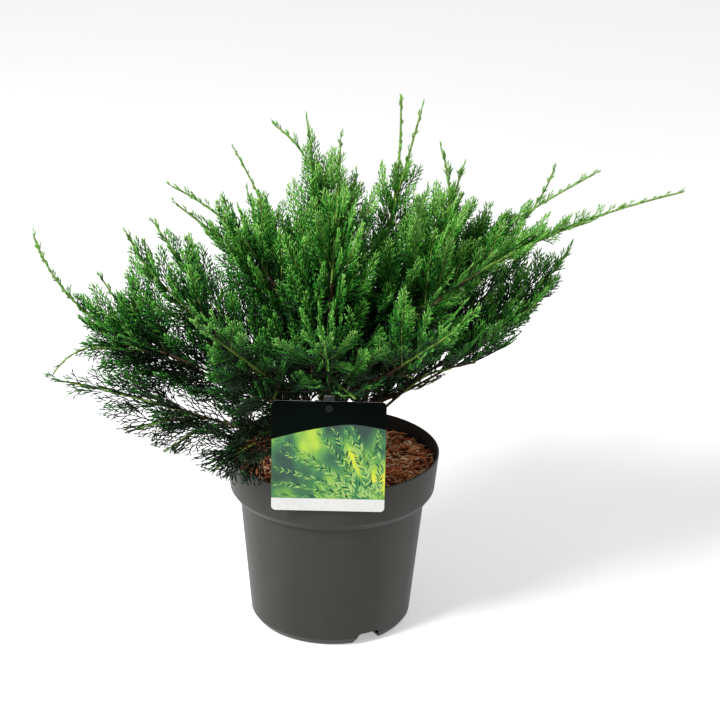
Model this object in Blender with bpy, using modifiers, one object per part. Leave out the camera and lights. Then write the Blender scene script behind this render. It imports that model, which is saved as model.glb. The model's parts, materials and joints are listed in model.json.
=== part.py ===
"""Potted sea green juniper: a spreading evergreen shrub in a 26 cm nursery pot.

Metres, +Z up. The origin is the middle of the pot's flat underside, the viewer's side is -Y and
azimuths turn from +X (0) over the back +Y (90) and the left -X (180) to the front (270).
The shrub is a short flared trunk, boughs that leave it or each other, and at each bough's tip one
plume: a stem that carries twigs and toothed sprays, which together are one closed solid.
"""

import math
import random
from collections import namedtuple

import bmesh
import bpy
from mathutils import Matrix, Vector, noise
from mathutils.kdtree import KDTree

# Clearances
SEAT_GAP = 0.0003  # between pieces that touch on the real plant
COPE_GAP = 0.0004  # radial, on five-sided limbs, which leaves SEAT_GAP over their flats
LIMB_CLEAR = 0.0035  # from a twig or spray to a bough or the trunk
SPACE_CLEAR = 0.0018  # from a twig or spray to the next plume's space
POT_CLEAR = 0.004

# Nursery pot
POT_HEIGHT = 0.219
RIM_RADIUS = 0.1283
RIM_FOOT_RADIUS = 0.125
SHOULDER_HEIGHT = 0.163
SHOULDER_RADIUS = 0.1119
BASE_RADIUS = 0.089
POT_WALL = 0.0024
POT_FLOOR = 0.004
POT_STEPS = 32
FOOT_NOTCHES = 4
FOOT_NOTCH_TURN = math.radians(-60)
NOTCH_WIDTH = 0.043
NOTCH_TOP_WIDTH = 0.028
NOTCH_HEIGHT = 0.0150
NOTCH_INNER_RADIUS = 0.058

# Bark mulch over the potting mix
MULCH_TOP = 0.205
MULCH_RELIEF = 0.0025
MULCH_FLAT_RADIUS = 0.03

# Picture label on its stake
LABEL_WIDTH = 0.131
LABEL_HEIGHT = 0.137
LABEL_THICKNESS = 0.0008
LABEL_CORNER = 0.005
LABEL_LOW = 0.196
LABEL_MIDDLE_X = -0.0035
LABEL_BACK = -RIM_RADIUS - 0.0005
PEG_RADIUS = 0.0026
PEG_HOLE_RADIUS = 0.0032
PEG_HEAD_RADIUS = 0.0048
PEG_HEAD_THICKNESS = 0.0018
PEG_BELOW_TOP = 0.008
STAKE_WIDTH = 0.012
STAKE_THICKNESS = 0.0014
STAKE_FRONT = -0.1185
STAKE_FOOT = 0.181
STAKE_ABOVE_PEG = 0.011

# Trunk, from the flat cut on the mulch to its fork
TRUNK_SIDES = 12
TRUNK_LEAN = Vector((-0.05, 0.04, 1.0))
TRUNK_LENGTH = 0.088
TRUNK_STATIONS = ((0.0, 0.0185), (0.06, 0.0150), (0.2, 0.0125), (0.5, 0.0108), (0.8, 0.0098), (1.0, 0.0080))
ROOT_LOBES = 5
ROOT_LOBE_DEPTH = 0.13
TRUNK_FOOT = Vector((0.0, 0.0, MULCH_TOP + SEAT_GAP))

# Boughs
BOUGH_SIDES = 5
BOUGH_STATIONS = 5
BEND = 0.38  # length of a bough's curve handles over its chord

# Plumes
STEM_SIDES = 3
STEM_STATIONS = 5
UP = Vector((0.0, 0.0, 1.0))
GOLDEN_TURN = math.radians(137.5)
LATERAL_GAP = 0.0245
LATERAL_ANGLE_LOW = math.radians(52)
LATERAL_ANGLE_HIGH = math.radians(30)
UPTURN = 0.35
LONGEST_SPRAY = 0.098
TWIG_RADIUS = 0.0019
SPRAY_ANGLE = math.radians(42)
SPRAY_LENGTH = 0.088
SPRAY_WIDTH = 0.46  # of its length
SPRAY_THICKNESS = 0.024  # of its length
SIDE_SUNK = 0.0012
TIP_SUNK = 0.004
SUNK_STEP = 0.00015
UNION_TRIES = 16
FLAT_ANGLE = math.radians(0.5)  # faces that meet flatter than this are one
CUT_BACKS = (1.0, 0.8, 0.64, 0.5)
TURNS = tuple(math.radians(turn) for turn in (0, 50, -50, 105, -105, 165))
SPRAY_APART = 0.0105  # between two sprays of a plume, past their roots
SPRAY_HEART = 0.42  # where along a spray its ridge stands
# Half of a spray's toothed outline from root to tip: share of the length, share of half the width
SPRAY_TEETH = ((0.30, 0.80), (0.42, 0.34), (0.60, 1.0), (0.70, 0.40))
TIP_SPRAY_SLIM = 0.45

Bough = namedtuple(
    "Bough", "parent leaves_at azimuth rise tip_azimuth reach height tip_rise share gauge spread forks"
)
# parent and leaves_at: the trunk and a share of its length, or another bough and a share of it.
# azimuth and rise: the direction in which it leaves. tip_azimuth, reach and height: where its shoot
# ends, and tip_rise how steeply, past 90 where it leans back inwards. share: where the bough passes
# into its plume. gauge: its radius at the foot. spread: length of the plume's lowest twigs. forks:
# second leaders of the plume, each as (share of the stem where it leaves, turn to the side, added
# rise, length).
# Angles are in degrees and lengths in metres.
BOUGHS = {
    # left side
    "left": Bough("trunk", 0.42, 178, 30, 181, 0.353, 0.484, 73, 0.33, 0.0052, 0.120,
                  ((0.28, -10, 32, 0.100),)),
    "left_shoulder": Bough("left", 0.45, 196, 62, 193, 0.245, 0.505, 66, 0.28, 0.0036, 0.107, ()),
    "left_droop": Bough("left", 0.72, 200, 34, 188, 0.332, 0.326, -58, 0.26, 0.0030, 0.110,
                        ((0.25, 26, -8, 0.085),)),
    "left_low": Bough("trunk", 0.20, 200, 14, 190, 0.325, 0.322, 14, 0.32, 0.0050, 0.115,
                      ((0.14, 30, -38, 0.092), (0.30, 20, -26, 0.112))),
    "front_left_low": Bough("left_low", 0.42, 236, 18, 224, 0.186, 0.244, -26, 0.26, 0.0034, 0.095, ()),
    # upper left
    "arching_left": Bough("trunk", 0.56, 192, 68, 184, 0.192, 0.549, 26, 0.30, 0.0048, 0.110,
                          ((0.35, 8, -24, 0.130),)),
    "crest_left": Bough("arching_left", 0.50, 140, 72, 164, 0.126, 0.580, 58, 0.26, 0.0034, 0.100, ()),
    "upper_left": Bough("trunk", 0.74, 142, 62, 166, 0.076, 0.615, 32, 0.28, 0.0046, 0.096,
                        ((0.40, -4, 23, 0.130),)),
    # top
    "crest_top": Bough("trunk", 0.97, 10, 68, 12, 0.072, 0.656, 93, 0.28, 0.0058, 0.090,
                       ((0.50, -16, -2, 0.122),)),
    "crest_right": Bough("crest_top", 0.42, -40, 44, -16, 0.122, 0.606, 112, 0.25, 0.0036, 0.103,
                         ((0.45, 34, 12, 0.105),)),
    "crest_front": Bough("trunk", 0.70, 262, 48, 274, 0.042, 0.618, 80, 0.26, 0.0046, 0.104,
                         ((0.30, 38, -14, 0.130),)),
    # right side
    "right_whip": Bough("trunk", 0.54, 316, 60, -15, 0.400, 0.583, 19, 0.26, 0.0050, 0.089, ()),
    "right_upper": Bough("trunk", 0.76, 356, 60, -5, 0.296, 0.579, 32, 0.28, 0.0046, 0.093,
                         ((0.30, -12, -22, 0.165),)),
    "right_shoulder": Bough("right_upper", 0.45, 30, 58, 18, 0.268, 0.546, 70, 0.26, 0.0034, 0.100, ()),
    "right_outer": Bough("trunk", 0.46, 4, 34, -4, 0.270, 0.485, 60, 0.30, 0.0050, 0.114, ()),
    "right_edge": Bough("right_outer", 0.48, -20, 26, -14, 0.240, 0.432, 42, 0.28, 0.0036, 0.088,
                        ((0.28, -12, -26, 0.080),)),
    "right_low": Bough("trunk", 0.22, 340, 28, -16, 0.178, 0.336, -22, 0.28, 0.0044, 0.070,
                       ((0.25, -42, -8, 0.070),)),
    # front
    "front_left": Bough("trunk", 0.44, 238, 42, 236, 0.270, 0.462, 40, 0.24, 0.0046, 0.125,
                        ((0.20, 28, -34, 0.090),)),
    "front_middle": Bough("crest_front", 0.34, 272, 30, 268, 0.250, 0.452, 34, 0.24, 0.0036, 0.125,
                          ((0.20, 26, -34, 0.085),)),
    "front_right": Bough("right_whip", 0.36, 300, 30, 302, 0.250, 0.452, 36, 0.24, 0.0036, 0.122,
                         ((0.20, 26, -34, 0.085),)),
    # back, which fills the crown out as far as its sides
    "back_right": Bough("trunk", 0.24, 28, 40, 32, 0.296, 0.446, 44, 0.30, 0.0048, 0.114, ()),
    "back_right_high": Bough("back_right", 0.40, 58, 58, 62, 0.236, 0.486, 54, 0.26, 0.0036, 0.110, ()),
    "back_right_low": Bough("back_right", 0.30, 78, 26, 76, 0.270, 0.360, 20, 0.28, 0.0034, 0.103, ()),
    "back_middle": Bough("trunk", 0.60, 92, 44, 94, 0.286, 0.462, 42, 0.28, 0.0046, 0.112, ()),
    "back_left": Bough("trunk", 0.26, 146, 40, 142, 0.290, 0.440, 44, 0.30, 0.0048, 0.114, ()),
    "back_left_high": Bough("back_left", 0.42, 116, 58, 120, 0.230, 0.480, 54, 0.26, 0.0036, 0.110, ()),
    "back_left_low": Bough("back_left", 0.30, 112, 26, 108, 0.270, 0.360, 20, 0.28, 0.0034, 0.103, ()),
}


# Scene, collections and materials


def clear_scene():
    for item in list(bpy.data.objects):
        bpy.data.objects.remove(item, do_unlink=True)


def new_collection(name):
    collection = bpy.data.collections.new(name)
    bpy.context.scene.collection.children.link(collection)
    return collection


def plain_material(name, colour, roughness, metallic=0.0):
    material = bpy.data.materials.new(name)
    material.use_nodes = True
    shader = material.node_tree.nodes["Principled BSDF"]
    shader.inputs["Base Color"].default_value = (*colour, 1.0)
    shader.inputs["Roughness"].default_value = roughness
    shader.inputs["Metallic"].default_value = metallic
    material.diffuse_color = (*colour, 1.0)
    return material


def add_object(name, mesh, collection, material=None):
    item = bpy.data.objects.new(name, mesh)
    collection.objects.link(item)
    if material:
        mesh.materials.append(material)
    return item


def mesh_from(name, bm):
    mesh = bpy.data.meshes.new(name)
    bm.to_mesh(mesh)
    bm.free()
    return mesh


def make_cutter(item):
    item.hide_render = True
    item.display_type = "WIRE"
    return item


def boolean(item, other, operation):
    modifier = item.modifiers.new(operation.title(), "BOOLEAN")
    modifier.operation = operation
    modifier.solver = "EXACT"
    modifier.object = other
    return modifier


def evaluated_mesh(item):
    """A plain copy of the object's mesh with its modifiers applied."""
    bpy.context.view_layer.update()
    depsgraph = bpy.context.evaluated_depsgraph_get()
    return bpy.data.meshes.new_from_object(item.evaluated_get(depsgraph))


# Shapes


def turned(name, profile, collection, material=None):
    """A closed profile, from the axis over the top and down the outside, turned about Z."""
    bm = bmesh.new()
    points = [bm.verts.new((radius, 0.0, height)) for radius, height in profile]
    for first, second in zip(points, points[1:]):
        bm.edges.new((first, second))
    mesh = bpy.data.meshes.new(name)
    bm.to_mesh(mesh)
    bm.free()
    item = add_object(name, mesh, collection, material)
    screw = item.modifiers.new("Turn", "SCREW")
    screw.axis = "Z"
    screw.angle = math.tau
    screw.steps = POT_STEPS
    screw.render_steps = POT_STEPS
    screw.use_merge_vertices = True
    screw.merge_threshold = 0.00001
    return item


def box(name, low, high, collection, material=None):
    bm = bmesh.new()
    size = Vector(high) - Vector(low)
    place = Matrix.Translation((Vector(low) + Vector(high)) / 2) @ Matrix.Diagonal((*size, 1.0))
    bmesh.ops.create_cube(bm, size=1.0, matrix=place)
    return add_object(name, mesh_from(name, bm), collection, material)


def rod_along_y(name, radius, start, end, x, z, collection, segments=16):
    bm = bmesh.new()
    place = Matrix.Translation((x, (start + end) / 2, z)) @ Matrix.Rotation(math.pi / 2, 4, "X")
    bmesh.ops.create_cone(
        bm, cap_ends=True, segments=segments, radius1=radius, radius2=radius, depth=end - start, matrix=place
    )
    return add_object(name, mesh_from(name, bm), collection)


def limb_mesh(name, path, radii, sides, first=None, last=None, lobes=0):
    """A closed tapering tube: one ring for each point of the path, bridged to the next.

    first and last are the directions that the two ends face, where they aren't the path's own.
    """
    bm = bmesh.new()
    directions = [path_direction(path, index) for index in range(len(path))]
    directions[0] = first or directions[0]
    directions[-1] = last or directions[-1]
    turn = directions[0].to_track_quat("Z", "Y")
    before = None
    for index, (point, radius) in enumerate(zip(path, radii)):
        turn = (turn @ UP).rotation_difference(directions[index]) @ turn
        place = Matrix.Translation(point) @ turn.to_matrix().to_4x4()
        end = index in (0, len(path) - 1)
        made = bmesh.ops.create_circle(bm, cap_ends=end, segments=sides, radius=radius, matrix=place)
        ring = made["verts"]
        if lobes:
            swell(ring, point, lobes, ROOT_LOBE_DEPTH * (1.0 - index / (len(path) - 1)) ** 2)
        edges = list({edge for vertex in ring for edge in vertex.link_edges})
        if before:
            bmesh.ops.bridge_loops(bm, edges=before + edges)
        before = edges
    bmesh.ops.triangulate(bm, faces=bm.faces)
    bmesh.ops.recalc_face_normals(bm, faces=bm.faces)
    return mesh_from(name, bm)


def swell(ring, middle, lobes, depth):
    """Pulls a ring out and in by a cosine, for the buttresses of the root flare."""
    for vertex in ring:
        arm = vertex.co - middle
        turn = math.atan2(arm.y, arm.x)
        vertex.co = middle + arm * (1.0 + depth * math.cos(lobes * turn))


def path_direction(path, index):
    """The mean direction of the path's stretches on both sides of a point."""
    low = max(index - 1, 0)
    high = min(index + 1, len(path) - 1)
    return (path[high] - path[low]).normalized()


# Routes of the limbs


def heading(azimuth, rise):
    """The unit vector of an azimuth and a rise over level, both in degrees."""
    azimuth = math.radians(azimuth)
    rise = math.radians(rise)
    return Vector((math.cos(azimuth) * math.cos(rise), math.sin(azimuth) * math.cos(rise), math.sin(rise)))


def trunk_point(share):
    return TRUNK_FOOT + TRUNK_LEAN * (TRUNK_LENGTH * share)


def route_ends(name):
    """The four control points of a shoot's curve, from its parent's middle to its own tip."""
    bough = BOUGHS[name]
    if bough.parent == "trunk":
        foot = trunk_point(bough.leaves_at)
    else:
        foot = route_point(bough.parent, bough.leaves_at * BOUGHS[bough.parent].share)
    around = math.radians(bough.tip_azimuth)
    tip = Vector((bough.reach * math.cos(around), bough.reach * math.sin(around), bough.height))
    handle = BEND * (tip - foot).length
    leaves = foot + heading(bough.azimuth, bough.rise) * handle
    arrives = tip - heading(bough.tip_azimuth, bough.tip_rise) * handle
    return foot, leaves, arrives, tip


def route_point(name, share):
    """A point of the shoot, at a share from 0 at its parent to 1 at its tip."""
    foot, leaves, arrives, tip = route_ends(name)
    rest = 1.0 - share
    return (
        foot * rest**3
        + leaves * (3 * rest**2 * share)
        + arrives * (3 * rest * share**2)
        + tip * share**3
    )


def route_direction(name, share, step=0.01):
    return (route_point(name, share + step) - route_point(name, share - step)).normalized()


def route(name, start, end, count):
    return [route_point(name, start + (end - start) * k / (count - 1)) for k in range(count)]


def length_of(path):
    return sum((b - a).length for a, b in zip(path, path[1:]))


def along(path, share):
    """The point and direction at a share of a path's length."""
    left = share * length_of(path)
    for first, second in zip(path, path[1:]):
        step = (second - first).length
        if left <= step or second is path[-1]:
            return first.lerp(second, left / step), (second - first).normalized()
        left -= step


def bough_radius(name, share):
    """A bough's radius at a share of its own length, from its foot to its tip."""
    return BOUGHS[name].gauge * (1.0 - 0.52 * share)


# Spaces: each plume keeps to the points that lie nearer to its own leaders than to any other's


class Spaces:
    """The leaders of all plumes and the axes of all limbs, for the tests on each twig and spray."""

    def __init__(self):
        leaders = [
            (name, point)
            for name in BOUGHS
            for order, stem in enumerate(leaders_of(name))
            for point in dense([*stem, leader_tip(name, stem, order)])
        ]
        self.owners = [name for name, _ in leaders]
        self.leaders = self.tree([point for _, point in leaders])
        limbs = []
        for name, bough in BOUGHS.items():
            count = 40
            for k in range(count):
                share = k / (count - 1)
                limbs.append((route_point(name, bough.share * share), bough_radius(name, share)))
        for k in range(20):
            limbs.append((trunk_point(k / 19), 0.0125))
        self.radii = [radius for _, radius in limbs]
        self.limbs = self.tree([point for point, _ in limbs])

    @staticmethod
    def tree(points):
        tree = KDTree(len(points))
        for index, point in enumerate(points):
            tree.insert(point, index)
        tree.balance()
        return tree

    def clear(self, name, point):
        """True if a point of this plume keeps to its space and off the limbs, pot and label."""
        own = self.leaders.find(point, filter=lambda index: self.owners[index] == name)[2]
        other = self.leaders.find(point, filter=lambda index: self.owners[index] != name)[2]
        if own > other - 2 * SPACE_CLEAR:
            return False
        for _, index, distance in self.limbs.find_range(point, 0.0185):
            if distance < self.radii[index] + LIMB_CLEAR:
                return False
        return not (near_pot(point) or near_label(point))


def dense(path, step=0.006):
    count = max(2, int(length_of(path) / step))
    return [along(path, k / (count - 1))[0] for k in range(count)]


def near_pot(point):
    radius = math.hypot(point.x, point.y)
    if point.z > POT_HEIGHT + POT_CLEAR:
        return False
    return radius < RIM_RADIUS + POT_CLEAR


def near_label(point):
    across = abs(point.x - LABEL_MIDDLE_X) < LABEL_WIDTH / 2 + POT_CLEAR
    deep = LABEL_BACK - 3 * POT_CLEAR < point.y < STAKE_FRONT + 2 * POT_CLEAR
    return across and deep and point.z < LABEL_LOW + LABEL_HEIGHT + POT_CLEAR


# The rule of growth: leaders, twigs and sprays


Twig = namedtuple("Twig", "path radius")
Spray = namedtuple("Spray", "root direction face length slim sunk")


def leaders_of(name):
    """The plume's stem, from just past its bough's tip, and its second leaders."""
    bough = BOUGHS[name]
    whole = route(name, bough.share, 1.0, 24)
    gap_share = SEAT_GAP / length_of(whole)
    end_share = 1.0 - tip_length(whole) * 0.9 / length_of(whole)
    stem = [
        along(whole, gap_share + (end_share - gap_share) * k / (STEM_STATIONS - 1))[0]
        for k in range(STEM_STATIONS)
    ]
    paths = [stem]
    for share, turn, rise, length in bough.forks:
        root, direction = along(stem, share)
        azimuth = math.degrees(math.atan2(direction.y, direction.x)) + turn
        level = math.degrees(math.asin(direction.z)) + rise
        first = (direction + heading(azimuth, level)).normalized()
        bend = root + first * (length * 0.4)
        paths.append([root, bend, bend + heading(azimuth, level) * (length * 0.6)])
    return paths


def tip_length(path):
    return min(0.085, 0.36 * length_of(path))


def across(direction, roll):
    """A unit vector square to a direction, turned about it by roll."""
    side = direction.cross(Vector((0.0, 0.0, 1.0)))
    if side.length < 0.05:
        side = direction.cross(Vector((0.0, 1.0, 0.0)))
    side.normalize()
    return Matrix.Rotation(roll, 3, direction) @ side


def lean_out(direction, side, angle):
    return (direction * math.cos(angle) + side * math.sin(angle)).normalized()


def grow(name, seed):
    """Lists a plume's laterals, before any is skipped, as (leader's axis, twig or None, sprays).

    Laterals stand round each leader by the golden turn and shorten towards its tip. A long one is a
    twig with sprays on both sides and at its end, a short one is a single spray.
    """
    rng = random.Random(seed)
    grown = []
    for order, stem in enumerate(leaders_of(name)):
        count = max(2, round(length_of(stem) / LATERAL_GAP))
        roll = rng.uniform(0.0, math.tau)
        for k in range(count):
            share = (k + 0.45 + rng.uniform(-0.25, 0.25)) / count
            roll += GOLDEN_TURN + rng.uniform(-0.3, 0.3)
            root, direction = along(stem, share)
            side = across(direction, roll)
            angle = LATERAL_ANGLE_LOW + (LATERAL_ANGLE_HIGH - LATERAL_ANGLE_LOW) * share
            reach = BOUGHS[name].spread * (1.0 - 0.62 * share) * (1.0 - 0.2 * order)
            reach *= rng.uniform(0.88, 1.15)
            first = lean_out(direction, side, angle)
            if reach > LONGEST_SPRAY:
                twig = twig_from(root, first, direction, reach - 0.8 * SPRAY_LENGTH)
                grown.append((direction, twig, sprays_on(twig, direction, side, rng)))
            else:
                points = (first + UP * (UPTURN / 2)).normalized()
                face = direction.cross(side) + across(points, rng.uniform(0.0, math.tau)) * 0.6
                spray = Spray(root, points, face.normalized(), reach, 1.0, SIDE_SUNK)
                grown.append((direction, None, [spray]))
        grown.append((None, None, [tip_spray(name, stem, order, rng)]))
    return grown


def leader_tip(name, stem, order):
    """Where the spray that ends a leader points: on the stem it is the shoot's own tip."""
    if order == 0:
        return route_ends(name)[3]
    return stem[-1] + (stem[-1] - stem[-2]).normalized() * (0.3 * length_of(stem))


def tip_spray(name, stem, order, rng):
    """The slim spray that ends a leader."""
    reach = leader_tip(name, stem, order) - stem[-1]
    direction = reach.normalized()
    face = across(direction, rng.uniform(0.0, math.tau))
    return Spray(stem[-1], direction, face, reach.length, TIP_SPRAY_SLIM, TIP_SUNK)


def twig_from(root, first, leader, length):
    """A twig that turns up, and back towards its leader's own direction."""
    lifted = (first + UP * UPTURN + leader * 0.25).normalized()
    middle = root + first * (length * 0.5)
    return Twig([root, middle, middle + lifted * (length * 0.5)], TWIG_RADIUS)


def sprays_on(twig, leader, side, rng):
    """Two side sprays, one on each side of the twig, and one that ends it."""
    flat = leader.cross(side).normalized()
    sprays = []
    for share, hand in ((0.42, 1.0), (0.80, -1.0)):
        root, direction = along(twig.path, share)
        outward = (direction.cross(flat) * hand).normalized()
        points = lean_out(direction, outward, SPRAY_ANGLE + rng.uniform(-0.15, 0.15))
        points = (points + flat * rng.uniform(-0.35, 0.35)).normalized()
        face = (flat + across(points, rng.uniform(0.0, math.tau)) * 0.6).normalized()
        sprays.append(Spray(root, points, face, SPRAY_LENGTH * rng.uniform(0.75, 0.95), 1.0, SIDE_SUNK))
    root, direction = twig.path[-1], (twig.path[-1] - twig.path[-2]).normalized()
    face = (flat + across(direction, rng.uniform(0.0, math.tau)) * 0.6).normalized()
    sprays.append(Spray(root, direction, face, SPRAY_LENGTH * rng.uniform(0.9, 1.1), 1.0, TIP_SUNK))
    return sprays


def kept(name, seed, spaces):
    """What is left of a plume's growth: each lateral is turned about its leader to where most of it
    fits, and each of its sprays is cut back until it keeps to the plume's space and clear of the
    plume's other sprays, and skipped where the shortest still does not."""
    left = []
    placed = []
    for axis, twig, sprays in grow(name, seed):
        laterals = [turned_about(turn, axis, twig, sprays) for turn in TURNS]
        best = max((fitted(*lateral, name, spaces, placed) for lateral in laterals), key=held_length)
        if best[0] or best[1]:
            left.append(best)
            for spray in best[1]:
                placed += body_points(spray)
    return left


def turned_about(turn, axis, twig, sprays):
    """A lateral turned about its leader's axis, through the point where it leaves the leader."""
    if turn == 0.0 or not axis:
        return twig, sprays
    root = twig.path[0] if twig else sprays[0].root
    spin = Matrix.Rotation(turn, 3, axis)
    if twig:
        twig = twig._replace(path=[root + spin @ (point - root) for point in twig.path])
    sprays = [
        spray._replace(
            root=root + spin @ (spray.root - root), direction=spin @ spray.direction, face=spin @ spray.face
        )
        for spray in sprays
    ]
    return twig, sprays


def fitted(twig, sprays, name, spaces, placed):
    if twig and not all(spaces.clear(name, point) for point in twig_points(twig)):
        twig, sprays = None, [on_stem(twig, sprays)]
    held = []
    for spray in sprays:
        near = placed + [point for other in held for point in body_points(other)]
        spray = cut_back(spray, name, spaces, near)
        if spray:
            held.append(spray)
    return twig, held


def held_length(lateral):
    return sum(spray.length for spray in lateral[1])


def on_stem(twig, sprays):
    """The one spray that stands in for a twig with no room."""
    first = (twig.path[1] - twig.path[0]).normalized()
    return sprays[0]._replace(root=twig.path[0], direction=first)


def cut_back(spray, name, spaces, placed):
    if spray.slim < 1.0:
        return spray
    for share in CUT_BACKS:
        shorter = spray._replace(length=spray.length * share)
        body = body_points(shorter)
        apart = all((point - other).length > SPRAY_APART for point in body for other in placed)
        if apart and all(spaces.clear(name, point) for point in spray_points(shorter)):
            return shorter
    return None


def spray_frame(spray):
    """The matrix that lays a spray along its direction: length on X, width on Y, ridge on Z."""
    x_axis = spray.direction
    z_axis = (spray.face - x_axis * spray.face.dot(x_axis)).normalized()
    y_axis = z_axis.cross(x_axis)
    turn = Matrix((x_axis, y_axis, z_axis)).transposed().to_4x4()
    return Matrix.Translation(spray.root - x_axis * spray.sunk) @ turn


def spray_outline(spray):
    """The toothed outline in the spray's own frame, round from the tip over the left to the root."""
    length = spray.length + spray.sunk
    half = spray.length * SPRAY_WIDTH / 2 * spray.slim
    side = [(share * length, width * half) for share, width in reversed(SPRAY_TEETH)]
    return [(length, 0.0), *side, (0.0, 0.0), *[(x, -y) for x, y in reversed(side)]]


def spray_mesh(name, spray):
    """A two-ring sphere pressed flat, whose equator is drawn out to the toothed outline."""
    outline = spray_outline(spray)
    bm = bmesh.new()
    bmesh.ops.create_uvsphere(bm, u_segments=len(outline), v_segments=2, radius=1.0)
    rim = sorted(
        (vertex for vertex in bm.verts if abs(vertex.co.z) < 0.5),
        key=lambda vertex: math.atan2(vertex.co.y, vertex.co.x) % math.tau,
    )
    thick = (spray.length + spray.sunk) * SPRAY_THICKNESS / 2
    for vertex in bm.verts:
        if abs(vertex.co.z) > 0.5:
            vertex.co = (SPRAY_HEART * outline[0][0], 0.0, math.copysign(thick, vertex.co.z))
    for vertex, (x, y) in zip(rim, outline):
        vertex.co = (x, y, 0.0)
    bm.transform(spray_frame(spray))
    return mesh_from(name, bm)


def spray_points(spray):
    """Places on a spray that the clearance tests look at: its middle line and its teeth."""
    frame = spray_frame(spray)
    outline = [frame @ Vector((x, y, 0.0)) for x, y in spray_outline(spray)]
    middle = [frame @ Vector((spray.length * share, 0.0, 0.0)) for share in (0.25, 0.4, 0.55, 0.7, 0.85)]
    half = len(outline) // 2
    return outline[:half] + outline[half + 1 :] + middle


def body_points(spray):
    """Places on a spray, past its root, that keep away from the plume's other sprays."""
    frame = spray_frame(spray)
    half = spray.length * SPRAY_WIDTH / 2 * spray.slim
    middle = [(share, 0.0) for share in (0.3, 0.5, 0.7, 0.9)]
    teeth = [(share, side) for share in (0.34, 0.6) for side in (-0.7, 0.7)]
    return [frame @ Vector((spray.length * share, half * side, 0.0)) for share, side in middle + teeth]


def twig_points(twig):
    return [along(twig.path, share)[0] for share in (0.2, 0.4, 0.6, 0.8, 1.0)]


# Sub-parts


def make_pot(parts, cutters):
    """A turned shell with a stepped rim, and feet left between four drainage notches."""
    outside = (
        (0.0, POT_HEIGHT),
        (RIM_RADIUS, POT_HEIGHT),
        (RIM_FOOT_RADIUS, 0.186),
        (RIM_FOOT_RADIUS - 0.0013, 0.173),
        (SHOULDER_RADIUS + 0.0062, SHOULDER_HEIGHT + 0.002),
        (SHOULDER_RADIUS, SHOULDER_HEIGHT),
        (0.0971, 0.010),
        (BASE_RADIUS + 0.0035, 0.0035),
        (BASE_RADIUS, 0.0),
        (0.0, 0.0),
    )
    plastic = plain_material("pot_plastic", (0.075, 0.078, 0.066), 0.55)
    pot = turned("pot", outside, parts, plastic)
    cavity = make_cutter(turned("pot_cavity", cavity_profile(0.0, POT_HEIGHT + 0.01), cutters))
    for index in range(FOOT_NOTCHES):
        turn = FOOT_NOTCH_TURN + index * math.tau / FOOT_NOTCHES
        housing = notch_block(f"notch_housing_{index}", turn, POT_WALL, cutters)
        boolean(cavity, housing, "DIFFERENCE")
        boolean(pot, notch_block(f"notch_{index}", turn, 0.0, cutters), "DIFFERENCE")
    boolean(pot, cavity, "DIFFERENCE")
    return pot


def cavity_profile(gap, top):
    """The pot's inner wall and floor, drawn in by a gap all over, up to the given height."""
    rim = RIM_RADIUS - POT_WALL - gap
    slope = (RIM_RADIUS - RIM_FOOT_RADIUS) / (POT_HEIGHT - 0.186)
    return (
        (0.0, top),
        (rim + slope * (top - POT_HEIGHT), top),
        (RIM_FOOT_RADIUS - POT_WALL - gap - 0.0012, 0.176),
        (SHOULDER_RADIUS - POT_WALL - gap, SHOULDER_HEIGHT + gap),
        (0.0971 - POT_WALL - gap, 0.012),
        (BASE_RADIUS - gap, POT_FLOOR + gap),
        (0.0, POT_FLOOR + gap),
    )


def notch_block(name, turn, wall, cutters):
    """The trapezoid of a drainage notch, grown by a wall, reaching out past the pot."""
    bm = bmesh.new()
    bmesh.ops.create_cube(bm, size=1.0)
    for vertex in bm.verts:
        high = vertex.co.z > 0
        width = NOTCH_TOP_WIDTH if high else NOTCH_WIDTH
        radius = 0.12 if vertex.co.x > 0 else NOTCH_INNER_RADIUS - wall
        height = NOTCH_HEIGHT + wall if high else -0.01
        vertex.co = (radius, math.copysign(width / 2 + wall, vertex.co.y), height)
    bm.transform(Matrix.Rotation(turn, 4, "Z"))
    return make_cutter(add_object(name, mesh_from(name, bm), cutters))


def make_mulch(parts, cutters):
    """Potting mix that fills the pot, topped with bark mulch: uneven, but flat under the trunk."""
    walls = cavity_profile(0.0006, MULCH_TOP - 0.002)
    top = ((0.0, MULCH_TOP), (MULCH_FLAT_RADIUS, MULCH_TOP), (0.078, MULCH_TOP + 0.0005))
    bark = plain_material("bark_mulch", (0.16, 0.062, 0.030), 0.9)
    draft = turned("mulch_draft", top + walls[1:], parts, bark)
    mesh = evaluated_mesh(draft)
    bpy.data.objects.remove(draft)
    for vertex in mesh.vertices:
        away = math.hypot(vertex.co.x, vertex.co.y)
        if vertex.co.z > 0.19 and away > MULCH_FLAT_RADIUS + 0.001:
            vertex.co.z += MULCH_RELIEF * noise.noise(vertex.co * 34.0)
    mulch = add_object("bark_mulch", mesh, parts)
    for index in range(FOOT_NOTCHES):
        turn = FOOT_NOTCH_TURN + index * math.tau / FOOT_NOTCHES
        housing = notch_block(f"mulch_housing_{index}", turn, POT_WALL + 0.0005, cutters)
        boolean(mulch, housing, "DIFFERENCE")
    half = STAKE_WIDTH / 2 + SEAT_GAP
    slot = box(
        "stake_slot",
        (LABEL_MIDDLE_X - half, STAKE_FRONT - SEAT_GAP, STAKE_FOOT - SEAT_GAP),
        (LABEL_MIDDLE_X + half, STAKE_FRONT + STAKE_THICKNESS + SEAT_GAP, POT_HEIGHT),
        cutters,
    )
    boolean(mulch, make_cutter(slot), "DIFFERENCE")
    return mulch


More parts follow.
